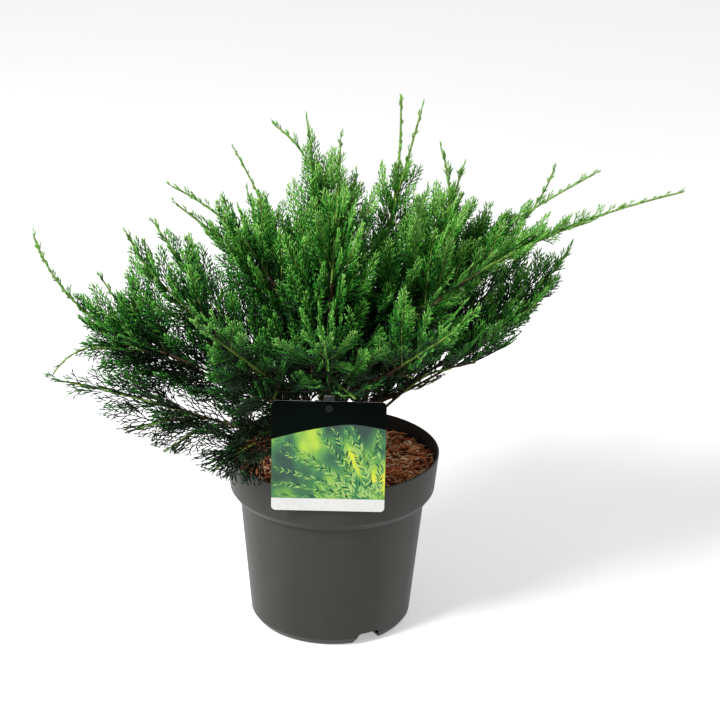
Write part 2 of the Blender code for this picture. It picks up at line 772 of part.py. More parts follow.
def make_label(parts, cutters):
    """The picture card in front of the rim, and the stake whose peg holds it by its hole."""
    middle = Vector((LABEL_MIDDLE_X, 0.0, 0.0))
    half = LABEL_WIDTH / 2
    peg_height = LABEL_LOW + LABEL_HEIGHT - PEG_BELOW_TOP
    print_face = plain_material("label_print", (0.22, 0.42, 0.06), 0.3)
    card = box(
        "label_card",
        (middle.x - half, LABEL_BACK - LABEL_THICKNESS, LABEL_LOW),
        (middle.x + half, LABEL_BACK, LABEL_LOW + LABEL_HEIGHT),
        parts,
        print_face,
    )
    bm = bmesh.new()
    bm.from_mesh(card.data)
    corners = [
        edge for edge in bm.edges if abs(edge.verts[0].co.y - edge.verts[1].co.y) > LABEL_THICKNESS / 2
    ]
    bmesh.ops.bevel(
        bm, geom=corners, offset=LABEL_CORNER, segments=4, profile=0.5, affect="EDGES", material=-1
    )
    bm.to_mesh(card.data)
    bm.free()
    hole = rod_along_y(
        "peg_hole", PEG_HOLE_RADIUS, LABEL_BACK - 0.01, LABEL_BACK + 0.01, middle.x, peg_height, cutters
    )
    boolean(card, make_cutter(hole), "DIFFERENCE")

    clear_plastic = plain_material("stake_plastic", (0.55, 0.58, 0.58), 0.25)
    half = STAKE_WIDTH / 2
    stake = box(
        "label_stake",
        (middle.x - half, STAKE_FRONT, STAKE_FOOT),
        (middle.x + half, STAKE_FRONT + STAKE_THICKNESS, peg_height + STAKE_ABOVE_PEG),
        parts,
        clear_plastic,
    )
    face = LABEL_BACK - LABEL_THICKNESS - SEAT_GAP
    for name, radius, start, end in (
        ("peg", PEG_RADIUS, face - PEG_HEAD_THICKNESS / 2, STAKE_FRONT + STAKE_THICKNESS / 2),
        ("peg_head", PEG_HEAD_RADIUS, face - PEG_HEAD_THICKNESS, face),
        ("peg_collar", PEG_HEAD_RADIUS, LABEL_BACK + SEAT_GAP, LABEL_BACK + PEG_HEAD_THICKNESS),
    ):
        piece = rod_along_y(name, radius, start, end, middle.x, peg_height, cutters)
        boolean(stake, make_cutter(piece), "UNION")


def trunk_mesh(name, extra):
    path = [trunk_point(share) for share, _ in TRUNK_STATIONS]
    path[0] = path[0] - TRUNK_LEAN * extra
    path[-1] = path[-1] + TRUNK_LEAN * extra
    radii = [radius + extra for _, radius in TRUNK_STATIONS]
    return limb_mesh(name, path, radii, TRUNK_SIDES, first=UP, lobes=ROOT_LOBES)


def bough_mesh(name, extra):
    bough = BOUGHS[name]
    path = route(name, 0.0, bough.share, BOUGH_STATIONS)
    tip = route_direction(name, bough.share)
    path[-1] = path[-1] + tip * extra
    radii = [bough_radius(name, k / (BOUGH_STATIONS - 1)) + extra for k in range(BOUGH_STATIONS)]
    return limb_mesh(name, path, radii, BOUGH_SIDES, last=tip)


def make_limbs(parts, cutters):
    """The trunk, and each bough, coped to the limb that it leaves."""
    bark = plain_material("bark", (0.20, 0.115, 0.065), 0.85)
    add_object("trunk", trunk_mesh("trunk", 0.0), parts, bark)
    carriers = {"trunk": make_cutter(add_object("trunk_cope", trunk_mesh("trunk_cope", COPE_GAP), cutters))}
    for name in sorted({bough.parent for bough in BOUGHS.values()} - {"trunk"}):
        cope = add_object(f"{name}_cope", bough_mesh(name, COPE_GAP), cutters)
        carriers[name] = make_cutter(cope)
    for name, bough in BOUGHS.items():
        item = add_object(f"bough_{name}", bough_mesh(name, 0.0), parts, bark)
        boolean(item, carriers[bough.parent], "DIFFERENCE")
        coped = evaluated_mesh(item)
        item.modifiers.clear()
        item.data = coped
        tidy(item)


def make_plume(name, seed, spaces, parts, material):
    """One plume: its leaders, twigs and sprays, joined by one union on their collection.

    Where a union comes out with an open seam, it is made again with the sprays sunk a little deeper.
    """
    growth = kept(name, seed, spaces)
    for attempt in range(UNION_TRIES):
        deeper = attempt * SUNK_STEP
        solver = "MANIFOLD" if attempt < UNION_TRIES - 2 else "EXACT"
        core = join_plume(name, growth, deeper, solver, parts, material)
        if is_closed(core.data):
            return core
        if attempt < UNION_TRIES - 1:
            bpy.data.objects.remove(core)
    return core


def is_closed(mesh):
    bm = bmesh.new()
    bm.from_mesh(mesh)
    closed = all(len(edge.link_faces) == 2 for edge in bm.edges)
    bm.free()
    return closed


def join_plume(name, growth, deeper, solver, parts, material):
    pieces = new_collection(f"pieces_{name}")
    stems = leaders_of(name)
    core = None
    for order, stem in enumerate(stems):
        thick = bough_radius(name, 1.0) * (1.0 - 0.25 * order)
        radii = [thick + (0.0009 - thick) * k / (len(stem) - 1) for k in range(len(stem))]
        if order == 0:
            foot = route_direction(name, BOUGHS[name].share)
            mesh = limb_mesh("stem", stem, radii, STEM_SIDES, first=foot)
            core = add_object(f"plume_{name}", mesh, parts, material)
        else:
            add_object(f"stem_{order}", limb_mesh("stem", stem, radii, STEM_SIDES), pieces)
    for number, (twig, sprays) in enumerate(growth):
        if twig:
            radii = [twig.radius, twig.radius * 0.8, twig.radius * 0.55]
            add_object(f"twig_{number}", limb_mesh("twig", twig.path, radii, STEM_SIDES), pieces)
        for spray in sprays:
            sunk = spray._replace(sunk=spray.sunk + deeper)
            add_object(f"spray_{number}", spray_mesh("spray", sunk), pieces)
    union = core.modifiers.new("Grow together", "BOOLEAN")
    union.operation = "UNION"
    union.operand_type = "COLLECTION"
    union.collection = pieces
    union.solver = solver
    joined = evaluated_mesh(core)
    core.modifiers.clear()
    core.data = joined
    for item in list(pieces.objects):
        bpy.data.objects.remove(item)
    bpy.data.collections.remove(pieces)
    tidy(core)
    return core


def tidy(item):
    """Drops loose scraps and the inner skin of sealed hollows: only the largest shell stays."""
    bm = bmesh.new()
    bm.from_mesh(item.data)
    unseen = set(bm.faces)
    shells = []
    while unseen:
        shell = {unseen.pop()}
        front = list(shell)
        while front:
            face = front.pop()
            for edge in face.edges:
                for other in edge.link_faces:
                    if other in unseen:
                        unseen.remove(other)
                        shell.add(other)
                        front.append(other)
        shells.append(shell)
    shells.sort(key=len, reverse=True)
    spare = [face for shell in shells[1:] for face in shell]
    bmesh.ops.delete(bm, geom=spare, context="FACES")
    bmesh.ops.dissolve_limit(bm, angle_limit=FLAT_ANGLE, verts=bm.verts, edges=bm.edges)
    bmesh.ops.triangulate(bm, faces=bm.faces)
    bm.to_mesh(item.data)
    bm.free()


def make_plumes(parts):
    spaces = Spaces()
    needles = plain_material("needles", (0.045, 0.19, 0.035), 0.6)
    for number, name in enumerate(BOUGHS):
        make_plume(name, 100 + number, spaces, parts, needles)


def main():
    clear_scene()
    parts = new_collection("potted_sea_green_juniper")
    cutters = new_collection("cutters")
    make_pot(parts, cutters)
    make_mulch(parts, cutters)
    make_label(parts, cutters)
    make_limbs(parts, cutters)
    make_plumes(parts)
    for item in parts.objects:
        if item.name.startswith(("pot", "bark_mulch", "trunk", "bough_")):
            item.data.shade_smooth()
            item.data.set_sharp_from_angle(angle=math.radians(35))


main()
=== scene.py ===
"""Potted sea green juniper: the finished looks of the plant, its pot, its mulch and its label.

Metres, +Z up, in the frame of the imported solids: the viewer of the photograph is on the -Y side, and
azimuths turn from +X (0) over the back +Y (90) and the left -X (180) to the front (270).
The shrub grows by the rule of the solids, carried on to finer twigs: laterals round each leader by
the golden turn, sprays on both sides of a lateral, and cords of scale leaves on both sides of a spray.
"""

import json
import math
import random
from collections import namedtuple

import bmesh
import bpy
import numpy as np
from mathutils import Matrix, Vector, noise

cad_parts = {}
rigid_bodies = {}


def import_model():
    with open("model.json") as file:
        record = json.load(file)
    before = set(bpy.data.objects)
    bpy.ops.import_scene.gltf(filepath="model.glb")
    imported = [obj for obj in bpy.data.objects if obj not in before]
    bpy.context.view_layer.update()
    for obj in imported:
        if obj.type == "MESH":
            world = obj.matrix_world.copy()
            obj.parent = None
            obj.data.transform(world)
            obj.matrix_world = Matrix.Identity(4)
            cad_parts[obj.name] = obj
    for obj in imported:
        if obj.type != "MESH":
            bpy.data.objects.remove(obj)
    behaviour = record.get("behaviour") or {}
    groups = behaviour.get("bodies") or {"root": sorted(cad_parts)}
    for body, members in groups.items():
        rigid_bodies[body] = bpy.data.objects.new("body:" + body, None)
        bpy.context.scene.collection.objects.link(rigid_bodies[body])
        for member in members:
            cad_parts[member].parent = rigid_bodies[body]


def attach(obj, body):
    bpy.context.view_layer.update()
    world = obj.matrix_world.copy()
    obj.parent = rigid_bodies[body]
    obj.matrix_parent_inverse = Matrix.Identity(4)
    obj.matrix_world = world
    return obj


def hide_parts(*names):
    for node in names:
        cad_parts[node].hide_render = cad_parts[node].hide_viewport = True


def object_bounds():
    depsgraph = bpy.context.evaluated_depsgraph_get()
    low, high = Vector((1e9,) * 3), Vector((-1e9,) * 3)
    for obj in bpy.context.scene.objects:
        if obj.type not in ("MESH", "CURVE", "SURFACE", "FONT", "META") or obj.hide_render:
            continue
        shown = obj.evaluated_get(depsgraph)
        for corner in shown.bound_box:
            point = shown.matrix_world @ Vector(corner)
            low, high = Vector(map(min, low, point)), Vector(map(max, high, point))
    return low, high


bl_info = {
    "name": "Potted Juniper",
    "version": (1, 0, 0),
    "blender": (4, 5, 0),
    "location": "View3D > Sidebar > Juniper",
    "description": "Grows a spreading juniper in its nursery pot",
    "category": "Object",
}

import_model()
CAD_LOW, CAD_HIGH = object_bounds()

SEAT_GAP = 0.0003  # between pieces that touch on the real plant

# Pot
POT_HEIGHT = 0.219
RIM_RADIUS = 0.1283
RIM_FOOT_RADIUS = 0.125
RIM_FOOT_HEIGHT = 0.186
SHOULDER_HEIGHT = 0.163
SHOULDER_RADIUS = 0.1119
LEDGE_WIDTH = 0.0062
LEDGE_RISE = 0.002
LEDGE_TOP_HEIGHT = 0.173
LEDGE_TOP_INSET = 0.0013
BASE_RADIUS = 0.089
BASE_ROUNDING = 0.0035
WALL_FOOT_RADIUS = 0.0971
WALL_FOOT_HEIGHT = 0.010
POT_WALL = 0.0024
POT_FLOOR = 0.004
RIM_WALL = 0.0030
RIM_INNER_HEIGHT = 0.180
INNER_FOOT_HEIGHT = 0.012
POT_ROUNDING = 0.0011
FOOT_NOTCHES = 4
FOOT_NOTCH_TURN = math.radians(-60)
NOTCH_WIDTH = 0.043
NOTCH_TOP_WIDTH = 0.028
NOTCH_HEIGHT = 0.0150
NOTCH_INNER_RADIUS = 0.058
NOTCH_ROUNDING = 0.004

# Mulch
MULCH_TOP = 0.205
BED_RADIUS = 0.1245
BED_FOOT = 0.190
BED_SUNK = 0.0030  # under the mulch's top, for the loose shreds
BED_SWELL = 0.0022
BED_GRAIN = 0.0012
BED_SAG = 0.003  # at the pot's wall
LOOSE_RADIUS = 0.1225  # within which the shreds have their middles
LOOSE_LAYER = 0.0042
MEAN_SHRED = 0.0125
SHORTEST_SHRED = 0.003
NARROWEST_SHRED = 0.0008
WIDEST_SHRED = 0.0036
SHRED_STATIONS = ((-0.5, 0.35), (-0.18, 1.0), (0.2, 0.9), (0.5, 0.3))  # shares of length, of width
SHRED_FACES = 4 * (len(SHRED_STATIONS) - 1) + 2
SHRED_MIX = (0.18, 0.34, 0.28, 0.20)  # dark, red, brown and pale

# Label
LABEL_WIDTH = 0.131
LABEL_HEIGHT = 0.137
LABEL_THICKNESS = 0.0008
LABEL_CORNER = 0.005
LABEL_LOW = 0.196
LABEL_MIDDLE_X = -0.0035
LABEL_BACK = -RIM_RADIUS - 0.0005
LABEL_FRONT = LABEL_BACK - LABEL_THICKNESS
PRINT_THICKNESS = 0.00006
STRIP_HEIGHT = 0.0155
BAND_LEFT = 0.089  # heights of the band's lower edge over the card's foot
BAND_PEAK = 0.109
BAND_RIGHT = 0.103
BAND_PEAK_AT = 0.70  # of the card's width
SPRIGS = 15
SPRIG_FIRST_TURN = 66  # degrees
SPRIG_TURN = 8.4
SPRIG_STEPS = 42
SPRIG_STEP = 0.0031
LEAFLET_LENGTH = 0.0095
LEAFLET_WIDTH = 0.22  # of its length
LEAFLET_STEP = 0.0000006  # each leaflet lies this far over the one before
PICTURE_SIDE = 0.0008  # left free of leaflets at the sides
PICTURE_EDGE = 0.0005  # and at the top and the foot
PEG_RADIUS = 0.0026
PEG_LENGTH = 0.0100
PEG_HEAD_RADIUS = 0.0048
PEG_HEAD_THICKNESS = 0.0018
PEG_STANDS_OUT = 0.0021
PEG_BELOW_TOP = 0.008
PEG_HEIGHT = LABEL_LOW + LABEL_HEIGHT - PEG_BELOW_TOP
STAKE_WIDTH = 0.012
STAKE_THICKNESS = 0.0014
STAKE_ROUNDING = 0.0004
STAKE_FRONT = -0.1185
STAKE_FOOT = 0.181
STAKE_ABOVE_PEG = 0.011
STAKE_TOP = PEG_HEIGHT + STAKE_ABOVE_PEG

# Trunk, from the flat cut on the mulch to its fork
TRUNK_LEAN = Vector((-0.05, 0.04, 1.0))
TRUNK_LENGTH = 0.088
TRUNK_STATIONS = ((0.0, 0.0185), (0.06, 0.0150), (0.2, 0.0125), (0.5, 0.0108), (0.8, 0.0098), (1.0, 0.0080))
ROOT_LOBES = 5
ROOT_LOBE_DEPTH = 0.13
TRUNK_FOOT = Vector((0.0, 0.0, MULCH_TOP + SEAT_GAP))

# Wood
TRUNK_SIDES = 40
BOUGH_SIDES = 9
STEM_SIDES = 6
STEM_TIP_RADIUS = 0.0011
GREEN_FROM = 0.36  # share of a plume's stem at which bark gives way to green skin

# Shoots
BEND = 0.38  # length of a bough's curve handles over its chord
UP = Vector((0.0, 0.0, 1.0))
GOLDEN_TURN = math.radians(137.5)
LONGEST_TIP = 0.085  # of a plume's stem beyond the part that its forks' shares measure
TIP_SHARE = 0.36
LONGEST_SPRAY = 0.044
LEAST_CORD = 0.0030
CORD_WAIST = 0.58  # share of a cord's length from which it narrows
TWIG_GAUGE = 0.016  # radius of a lateral over its length, within TWIG_RADII
TWIG_RADII = (0.0005, 0.0011)
TWIG_STEPS = 4
STRONG_REACH = 1.22  # of the laterals that outgrow the rest
STRONG_UP_TO = 0.75  # share of the plume
LATERAL_SPREAD = (0.50, 1.20)  # by which a lateral's length varies
FIRST_LATERAL = 0.30  # share of the bough from which it carries laterals
CUT_BACKS = 4
CUT_BACK = 0.7  # share that a shoot without room keeps at each cut

# Room of the foliage
BOX_CLEAR = 0.001  # beyond the solids' box
POT_CLEAR = 0.003
POT_INSIDE = 0.118  # radius from which a twig would touch the wall
FOLIAGE_OVER_MULCH = 0.030
CARD_CLEAR = 0.002
SIGHT_RISE = 0.42  # of the lines of sight over the card's top, which the foliage keeps above
BARE_FOOT_RIGHT = 0.258  # heights at the trunk of the two planes under which the crown is bare
BARE_FOOT_LEFT = 0.107
BARE_RISE_RIGHT = 0.55  # by which the planes rise to each side and to the front
BARE_RISE_LEFT = 0.50
BARE_RISE_FRONT = 0.47

Bough = namedtuple(
    "Bough", "parent leaves_at azimuth rise tip_azimuth reach height tip_rise share gauge spread forks"
)
# parent and leaves_at: the trunk and a share of its length, or another bough and a share of it.
# azimuth and rise: the direction in which it leaves. tip_azimuth, reach and height: where its shoot
# ends, and tip_rise how steeply, past 90 where it leans back inwards. share: where the bough passes
# into its plume. gauge: its radius at the foot. spread: length of the plume's lowest twigs. forks:
# second leaders of the plume, each as (share of the stem where it leaves, turn to the side, added
# rise, length).
# Angles are in degrees and lengths in metres.
BOUGHS = {
    # left side
    "left": Bough("trunk", 0.42, 178, 30, 181, 0.353, 0.484, 73, 0.33, 0.0052, 0.120,
                  ((0.28, -10, 32, 0.100),)),
    "left_shoulder": Bough("left", 0.45, 196, 62, 193, 0.245, 0.505, 66, 0.28, 0.0036, 0.107, ()),
    "left_droop": Bough("left", 0.72, 200, 34, 188, 0.332, 0.326, -58, 0.26, 0.0030, 0.110,
                        ((0.25, 26, -8, 0.085),)),
    "left_low": Bough("trunk", 0.20, 200, 14, 190, 0.325, 0.322, 14, 0.32, 0.0050, 0.115,
                      ((0.14, 30, -38, 0.092), (0.30, 20, -26, 0.112))),
    "front_left_low": Bough("left_low", 0.42, 236, 18, 224, 0.186, 0.244, -26, 0.26, 0.0034, 0.095, ()),
    # upper left
    "arching_left": Bough("trunk", 0.56, 192, 68, 184, 0.192, 0.549, 26, 0.30, 0.0048, 0.110,
                          ((0.35, 8, -24, 0.130),)),
    "crest_left": Bough("arching_left", 0.50, 140, 72, 164, 0.126, 0.580, 58, 0.26, 0.0034, 0.100, ()),
    "upper_left": Bough("trunk", 0.74, 142, 62, 166, 0.076, 0.615, 32, 0.28, 0.0046, 0.096,
                        ((0.40, -4, 23, 0.130),)),
    # top
    "crest_top": Bough("trunk", 0.97, 10, 68, 12, 0.072, 0.656, 93, 0.28, 0.0058, 0.090,
                       ((0.50, -16, -2, 0.122),)),
    "crest_right": Bough("crest_top", 0.42, -40, 44, -16, 0.122, 0.606, 112, 0.25, 0.0036, 0.103,
                         ((0.45, 34, 12, 0.105),)),
    "crest_front": Bough("trunk", 0.70, 262, 48, 274, 0.042, 0.618, 80, 0.26, 0.0046, 0.104,
                         ((0.30, 38, -14, 0.130),)),
    # right side
    "right_whip": Bough("trunk", 0.54, 316, 60, -15, 0.400, 0.583, 19, 0.26, 0.0050, 0.089, ()),
    "right_upper": Bough("trunk", 0.76, 356, 60, -5, 0.296, 0.579, 32, 0.28, 0.0046, 0.093,
                         ((0.30, -12, -22, 0.165),)),
    "right_shoulder": Bough("right_upper", 0.45, 30, 58, 18, 0.268, 0.546, 70, 0.26, 0.0034, 0.100, ()),
    "right_outer": Bough("trunk", 0.46, 4, 34, -4, 0.270, 0.485, 60, 0.30, 0.0050, 0.114, ()),
    "right_edge": Bough("right_outer", 0.48, -20, 26, -14, 0.240, 0.432, 42, 0.28, 0.0036, 0.088,
                        ((0.28, -12, -26, 0.080),)),
    "right_low": Bough("trunk", 0.22, 340, 28, -16, 0.178, 0.336, -22, 0.28, 0.0044, 0.070,
                       ((0.25, -42, -8, 0.070),)),
    # front
    "front_left": Bough("trunk", 0.44, 238, 42, 236, 0.270, 0.462, 40, 0.24, 0.0046, 0.125,
                        ((0.20, 28, -34, 0.090),)),
    "front_middle": Bough("crest_front", 0.34, 272, 30, 268, 0.250, 0.452, 34, 0.24, 0.0036, 0.125,
                          ((0.20, 26, -34, 0.085),)),
    "front_right": Bough("right_whip", 0.36, 300, 30, 302, 0.250, 0.452, 36, 0.24, 0.0036, 0.122,
                         ((0.20, 26, -34, 0.085),)),
    # back, which fills the crown out as far as its sides
    "back_right": Bough("trunk", 0.24, 28, 40, 32, 0.296, 0.446, 44, 0.30, 0.0048, 0.114, ()),
    "back_right_high": Bough("back_right", 0.40, 58, 58, 62, 0.236, 0.486, 54, 0.26, 0.0036, 0.110, ()),
    "back_right_low": Bough("back_right", 0.30, 78, 26, 76, 0.270, 0.360, 20, 0.28, 0.0034, 0.103, ()),
    "back_middle": Bough("trunk", 0.60, 92, 44, 94, 0.286, 0.462, 42, 0.28, 0.0046, 0.112, ()),
    "back_left": Bough("trunk", 0.26, 146, 40, 142, 0.290, 0.440, 44, 0.30, 0.0048, 0.114, ()),
    "back_left_high": Bough("back_left", 0.42, 116, 58, 120, 0.230, 0.480, 54, 0.26, 0.0036, 0.110, ()),
    "back_left_low": Bough("back_left", 0.30, 112, 26, 108, 0.270, 0.360, 20, 0.28, 0.0034, 0.103, ()),
}

# Plumes that are joined into one piece
REGIONS = {
    "left": ("left", "left_shoulder", "left_droop", "left_low", "front_left_low"),
    "upper_left": ("arching_left", "crest_left", "upper_left"),
    "top": ("crest_top", "crest_right", "crest_front"),
    "right_high": ("right_whip", "right_upper", "right_shoulder"),
    "right_low": ("right_outer", "right_edge", "right_low"),
    "front": ("front_left", "front_middle", "front_right"),
    "back_left": ("back_left", "back_left_high", "back_left_low"),
    "back_right": ("back_right", "back_right_high", "back_right_low", "back_middle"),
}
# Tones of painted light and shade, from the darkest to the most lit green of the needles
TONES = ("shade", "deep", "middle", "bright", "fresh_and_lit")

Habit = namedtuple("Habit", (
    "lateral_gap",  # distance between laterals along a leader
    "reach", "bare_reach",  # a lateral's length over the plume's spread, low on it and at its tip
    "bare_from", "bare_to",  # shares of the plume over which the one passes into the other
    "strong_share",  # of the laterals that outgrow the rest
    "angle_low", "angle_high",  # between laterals and their leader, low on it and at its tip, in degrees
    "underside",  # by which laterals that start downwards fall short
    "upturn",  # how much laterals bend up
    "spray_gap", "spray_angle", "spray_reach", "spray_least",  # sprays along a lateral
    "lift",  # how much sprays bend up
    "cord_from", "cord_gap", "cord_angle", "cord_reach",  # cords along sprays longer than cord_from
    "thickness",  # of a cord, over the usual one
    "hem",  # how far the foliage may hang below the plane of the bare foot
))
UPRIGHT = Habit(
    lateral_gap=0.0060, reach=0.95, bare_reach=0.08, bare_from=0.10, bare_to=1.05, strong_share=0.14,
    angle_low=50, angle_high=18, underside=0.55, upturn=0.90, spray_gap=0.0038, spray_angle=25,
    spray_reach=0.46, spray_least=0.0060, lift=0.30, cord_from=0.0110, cord_gap=0.0048, cord_angle=27,
    cord_reach=0.0085, thickness=0.95, hem=0.0,
)
WHIP = UPRIGHT._replace(
    lateral_gap=0.0054, bare_reach=0.095, bare_from=0.05, bare_to=0.74, strong_share=0.04,
    angle_high=9, upturn=0.60,
)
ARCHING = WHIP._replace(bare_from=0.12, bare_to=0.84, bare_reach=0.110)
FRONT = UPRIGHT._replace(lateral_gap=0.0070, upturn=0.40, lift=0.12, angle_high=28, underside=0.35)
EDGE = UPRIGHT._replace(underside=0.15, bare_to=1.10, upturn=0.90, bare_reach=0.14)
LACY = Habit(
    lateral_gap=0.0098, reach=0.68, bare_reach=0.12, bare_from=0.10, bare_to=1.20, strong_share=0.12,
    angle_low=44, angle_high=24, underside=0.0, upturn=0.0, spray_gap=0.0066, spray_angle=27,
    spray_reach=0.50, spray_least=0.0090, lift=-0.05, cord_from=0.0120, cord_gap=0.0062, cord_angle=30,
    cord_reach=0.0120, thickness=0.92, hem=1.0,
)
HANGING = LACY._replace(lateral_gap=0.0046, reach=0.85, upturn=0.10, spray_gap=0.0045, lift=-0.10)
HABITS = {
    "left": WHIP._replace(bare_to=0.77),
    "left_droop": LACY._replace(
        lateral_gap=0.0062, reach=0.86, bare_reach=0.06, bare_from=0.02, bare_to=0.84, upturn=0.20,
        spray_gap=0.0052,
    ),
    "left_low": LACY._replace(lateral_gap=0.0084, reach=0.78, underside=0.40, hem=0.0),
    "front_left_low": HANGING._replace(hem=0.0),
    "crest_left": WHIP,
    "upper_left": WHIP._replace(reach=0.82, bare_from=0.15, bare_to=0.94, bare_reach=0.12),
    "crest_top": WHIP._replace(reach=0.78, bare_to=0.66),
    "crest_right": WHIP._replace(bare_to=0.90, bare_reach=0.12),
    "arching_left": ARCHING._replace(bare_to=0.80),
    "right_whip": ARCHING,
    "right_upper": ARCHING,
    "right_shoulder": ARCHING,
    "right_outer": EDGE._replace(lateral_gap=0.0050, reach=1.25, bare_to=1.00, bare_reach=0.12),
    "right_edge": EDGE._replace(reach=0.85, hem=0.016),
    "right_low": LACY._replace(lateral_gap=0.014, reach=0.60, underside=0.2, hem=0.012),
    "front_left": FRONT,
    "front_middle": FRONT,
    "front_right": FRONT,
    "back_left_low": LACY,
    "back_right_low": LACY,
}

# Light and shade in the crown
# These paint light and shade into the greens of the foliage: they deal out its tones by place.
CROWN_MIDDLE = np.array((0.0, 0.0, 0.27))
CROWN_REACH = np.array((0.34, 0.25, 0.36))
LIGHT_BY_REACH = 0.40
LIGHT_BY_HEIGHT = 0.58
LIGHT_BY_OUTWARD_SHARE = 0.50
SHADE_LOW_LEFT = 0.10
SHADE_LOW_FRONT = 0.24
TONE_EDGES = (0.27, 0.45, 0.63, 0.85)
TONE_SPREAD = 0.08

# Camera of the photograph
CAMERA_PLACE = Vector((0.030317, -2.581345, 1.34306))
CAMERA_RIGHT = Vector((0.99977, 0.00779, 0.01991))
CAMERA_UP = Vector((-0.02138, 0.36405, 0.93113))

# Lights
KEY_PLACE = (-1.7, -1.5, 2.2)
KEY_TARGET = (0.0, 0.0, 0.35)
KEY_WIDTH = 1.0
FILL_PLACE = (1.9, -1.2, 1.5)
FILL_TARGET = (0.0, 0.0, 0.3)
FILL_WIDTH = 1.6
FLOOR_RADIUS = 9.0


# Settings


def colour(name, description, default):
    return bpy.props.FloatVectorProperty(
        name=name, description=description, default=default, size=3, min=0.0, max=1.0, subtype="COLOR"
    )


def size(name, description, default):
    return bpy.props.FloatProperty(
        name=name, description=description, default=default, min=0.0, subtype="DISTANCE", unit="LENGTH"
    )


def amount(name, description, default):
    return bpy.props.FloatProperty(name=name, description=description, default=default, min=0.0)


class PotSettings(bpy.types.PropertyGroup):
    steps: bpy.props.IntProperty(name="Steps", description="Facets round the pot", default=144, min=16)
    plastic: colour("Plastic", "Colour of the pot", (0.0315, 0.0300, 0.0255))


class MulchSettings(bpy.types.PropertyGroup):
    shreds: bpy.props.IntProperty(name="Shreds", description="Number of bark shreds", default=4200, min=0)
    longest: size("Longest", "Length of the longest shreds", 0.032)
    # The darkest bark colour, for the bed under the loose shreds and for some loose shreds, so the mulch is
    # darker towards its bottom
    dark: colour("Dark", "Wet bark low in the bed", (0.075, 0.015, 0.005))
    red: colour("Red", "Most of the shreds", (0.48, 0.125, 0.040))
    brown: colour("Brown", "Weathered shreds", (0.85, 0.35, 0.145))
    pale: colour("Pale", "Torn fibres", (1.00, 0.68, 0.42))


class LabelSettings(bpy.types.PropertyGroup):
    card: colour("Card", "Bare card and its strip", (0.86, 0.86, 0.84))
    band: colour("Band", "Dark band along the top", (0.0008, 0.0030, 0.0020))
    peg: colour("Peg", "Knob of the stake's peg", (0.008, 0.009, 0.010))


class WoodSettings(bpy.types.PropertyGroup):
    ring_gap: size("Ring gap", "Distance between a limb's rings", 0.0025)
    relief: amount("Relief", "Depth of the bark's ridges, of the limb's radius", 0.16)
    bark: colour("Bark", "Colour of the bark", (0.115, 0.066, 0.036))
    young: colour("Young wood", "Green skin of the outer stems", (0.17, 0.31, 0.045))


class FoliageSettings(bpy.types.PropertyGroup):
    fullness: amount("Fullness", "Number of laterals", 1.0)
    cord_radius: size("Cord radius", "Half thickness of a cord of scale leaves", 0.00084)
    # The five greens are painted light and shade: one green in shaded and lit takes, dealt out by place in
    # the crown; the fresh and lit one is partly also the real paler green of new tips.
    shade: colour("Shade", "Sprays deep inside", (0.002, 0.014, 0.002))
    deep: colour("Deep", "Inner and low sprays", (0.006, 0.072, 0.005))
    middle: colour("Middle", "Most sprays", (0.030, 0.205, 0.016))
    bright: colour("Bright", "Sprays in the light", (0.105, 0.385, 0.042))
    fresh_and_lit: colour("Fresh", "Tips of the newest shoots", (0.250, 0.550, 0.110))


class StageSettings(bpy.types.PropertyGroup):
    floor: colour("Floor", "Colour of the floor", (0.93, 0.93, 0.93))
    glow: amount("Glow", "Evenness of the floor's light", 0.40)
    sky: amount("Sky", "Strength of the even light", 0.44)
    key: amount("Key", "Power of the key light", 104.0)
    fill: amount("Fill", "Power of the fill light", 1.5)
    lens: amount("Lens", "Focal length in mm", 116.58)


# Materials


def principled(name, base, roughness, specular=0.5):
    """A material with a plain Principled shader, and its shader node."""
    material = bpy.data.materials.new(name)
    material.use_nodes = True
    shader = material.node_tree.nodes["Principled BSDF"]
    shader.inputs["Base Color"].default_value = (*base, 1.0)
    shader.inputs["Roughness"].default_value = roughness
    shader.inputs["Specular IOR Level"].default_value = specular
    return material, shader


def node(material, kind, **values):
    """A new shader node, with values for its sockets or its own settings."""
    made = material.node_tree.nodes.new(kind)
    for key, value in values.items():
        if key in made.inputs:
            made.inputs[key].default_value = value
        else:
            setattr(made, key, value)
    return made


def link(material, output, target):
    material.node_tree.links.new(output, target)


def place(material, scale):
    """Object coordinates, stretched by a scale on each axis."""
    coordinates = node(material, "ShaderNodeTexCoord")
    mapping = node(material, "ShaderNodeMapping", Scale=scale)
    link(material, coordinates.outputs["Object"], mapping.inputs["Vector"])
    return mapping.outputs["Vector"]


def pattern(material, where, scale, detail=4.0, roughness=0.5):
    made = node(material, "ShaderNodeTexNoise", Scale=scale, Detail=detail, Roughness=roughness)
    link(material, where, made.inputs["Vector"])
    return made.outputs["Fac"]


def tint(material, shader, value, stops):
    """The base colour as a ramp over a value, from (position, colour) stops."""
    made = node(material, "ShaderNodeValToRGB")
    elements = made.color_ramp.elements
    while len(elements) < len(stops):
        elements.new(0.5)
    for element, (position, shade) in zip(elements, stops):
        element.position = position
        element.color = (*shade, 1.0)
    link(material, value, made.inputs["Fac"])
    link(material, made.outputs["Color"], shader.inputs["Base Color"])


def bumps(material, shader, height, distance, strength=1.0):
    bump = node(material, "ShaderNodeBump", Distance=distance, Strength=strength)
    link(material, height, bump.inputs["Height"])
    link(material, bump.outputs["Normal"], shader.inputs["Normal"])


def shades(base, *factors):
    """Darker and lighter takes of a colour."""
    return [tuple(min(1.0, channel * factor) for channel in base) for factor in factors]


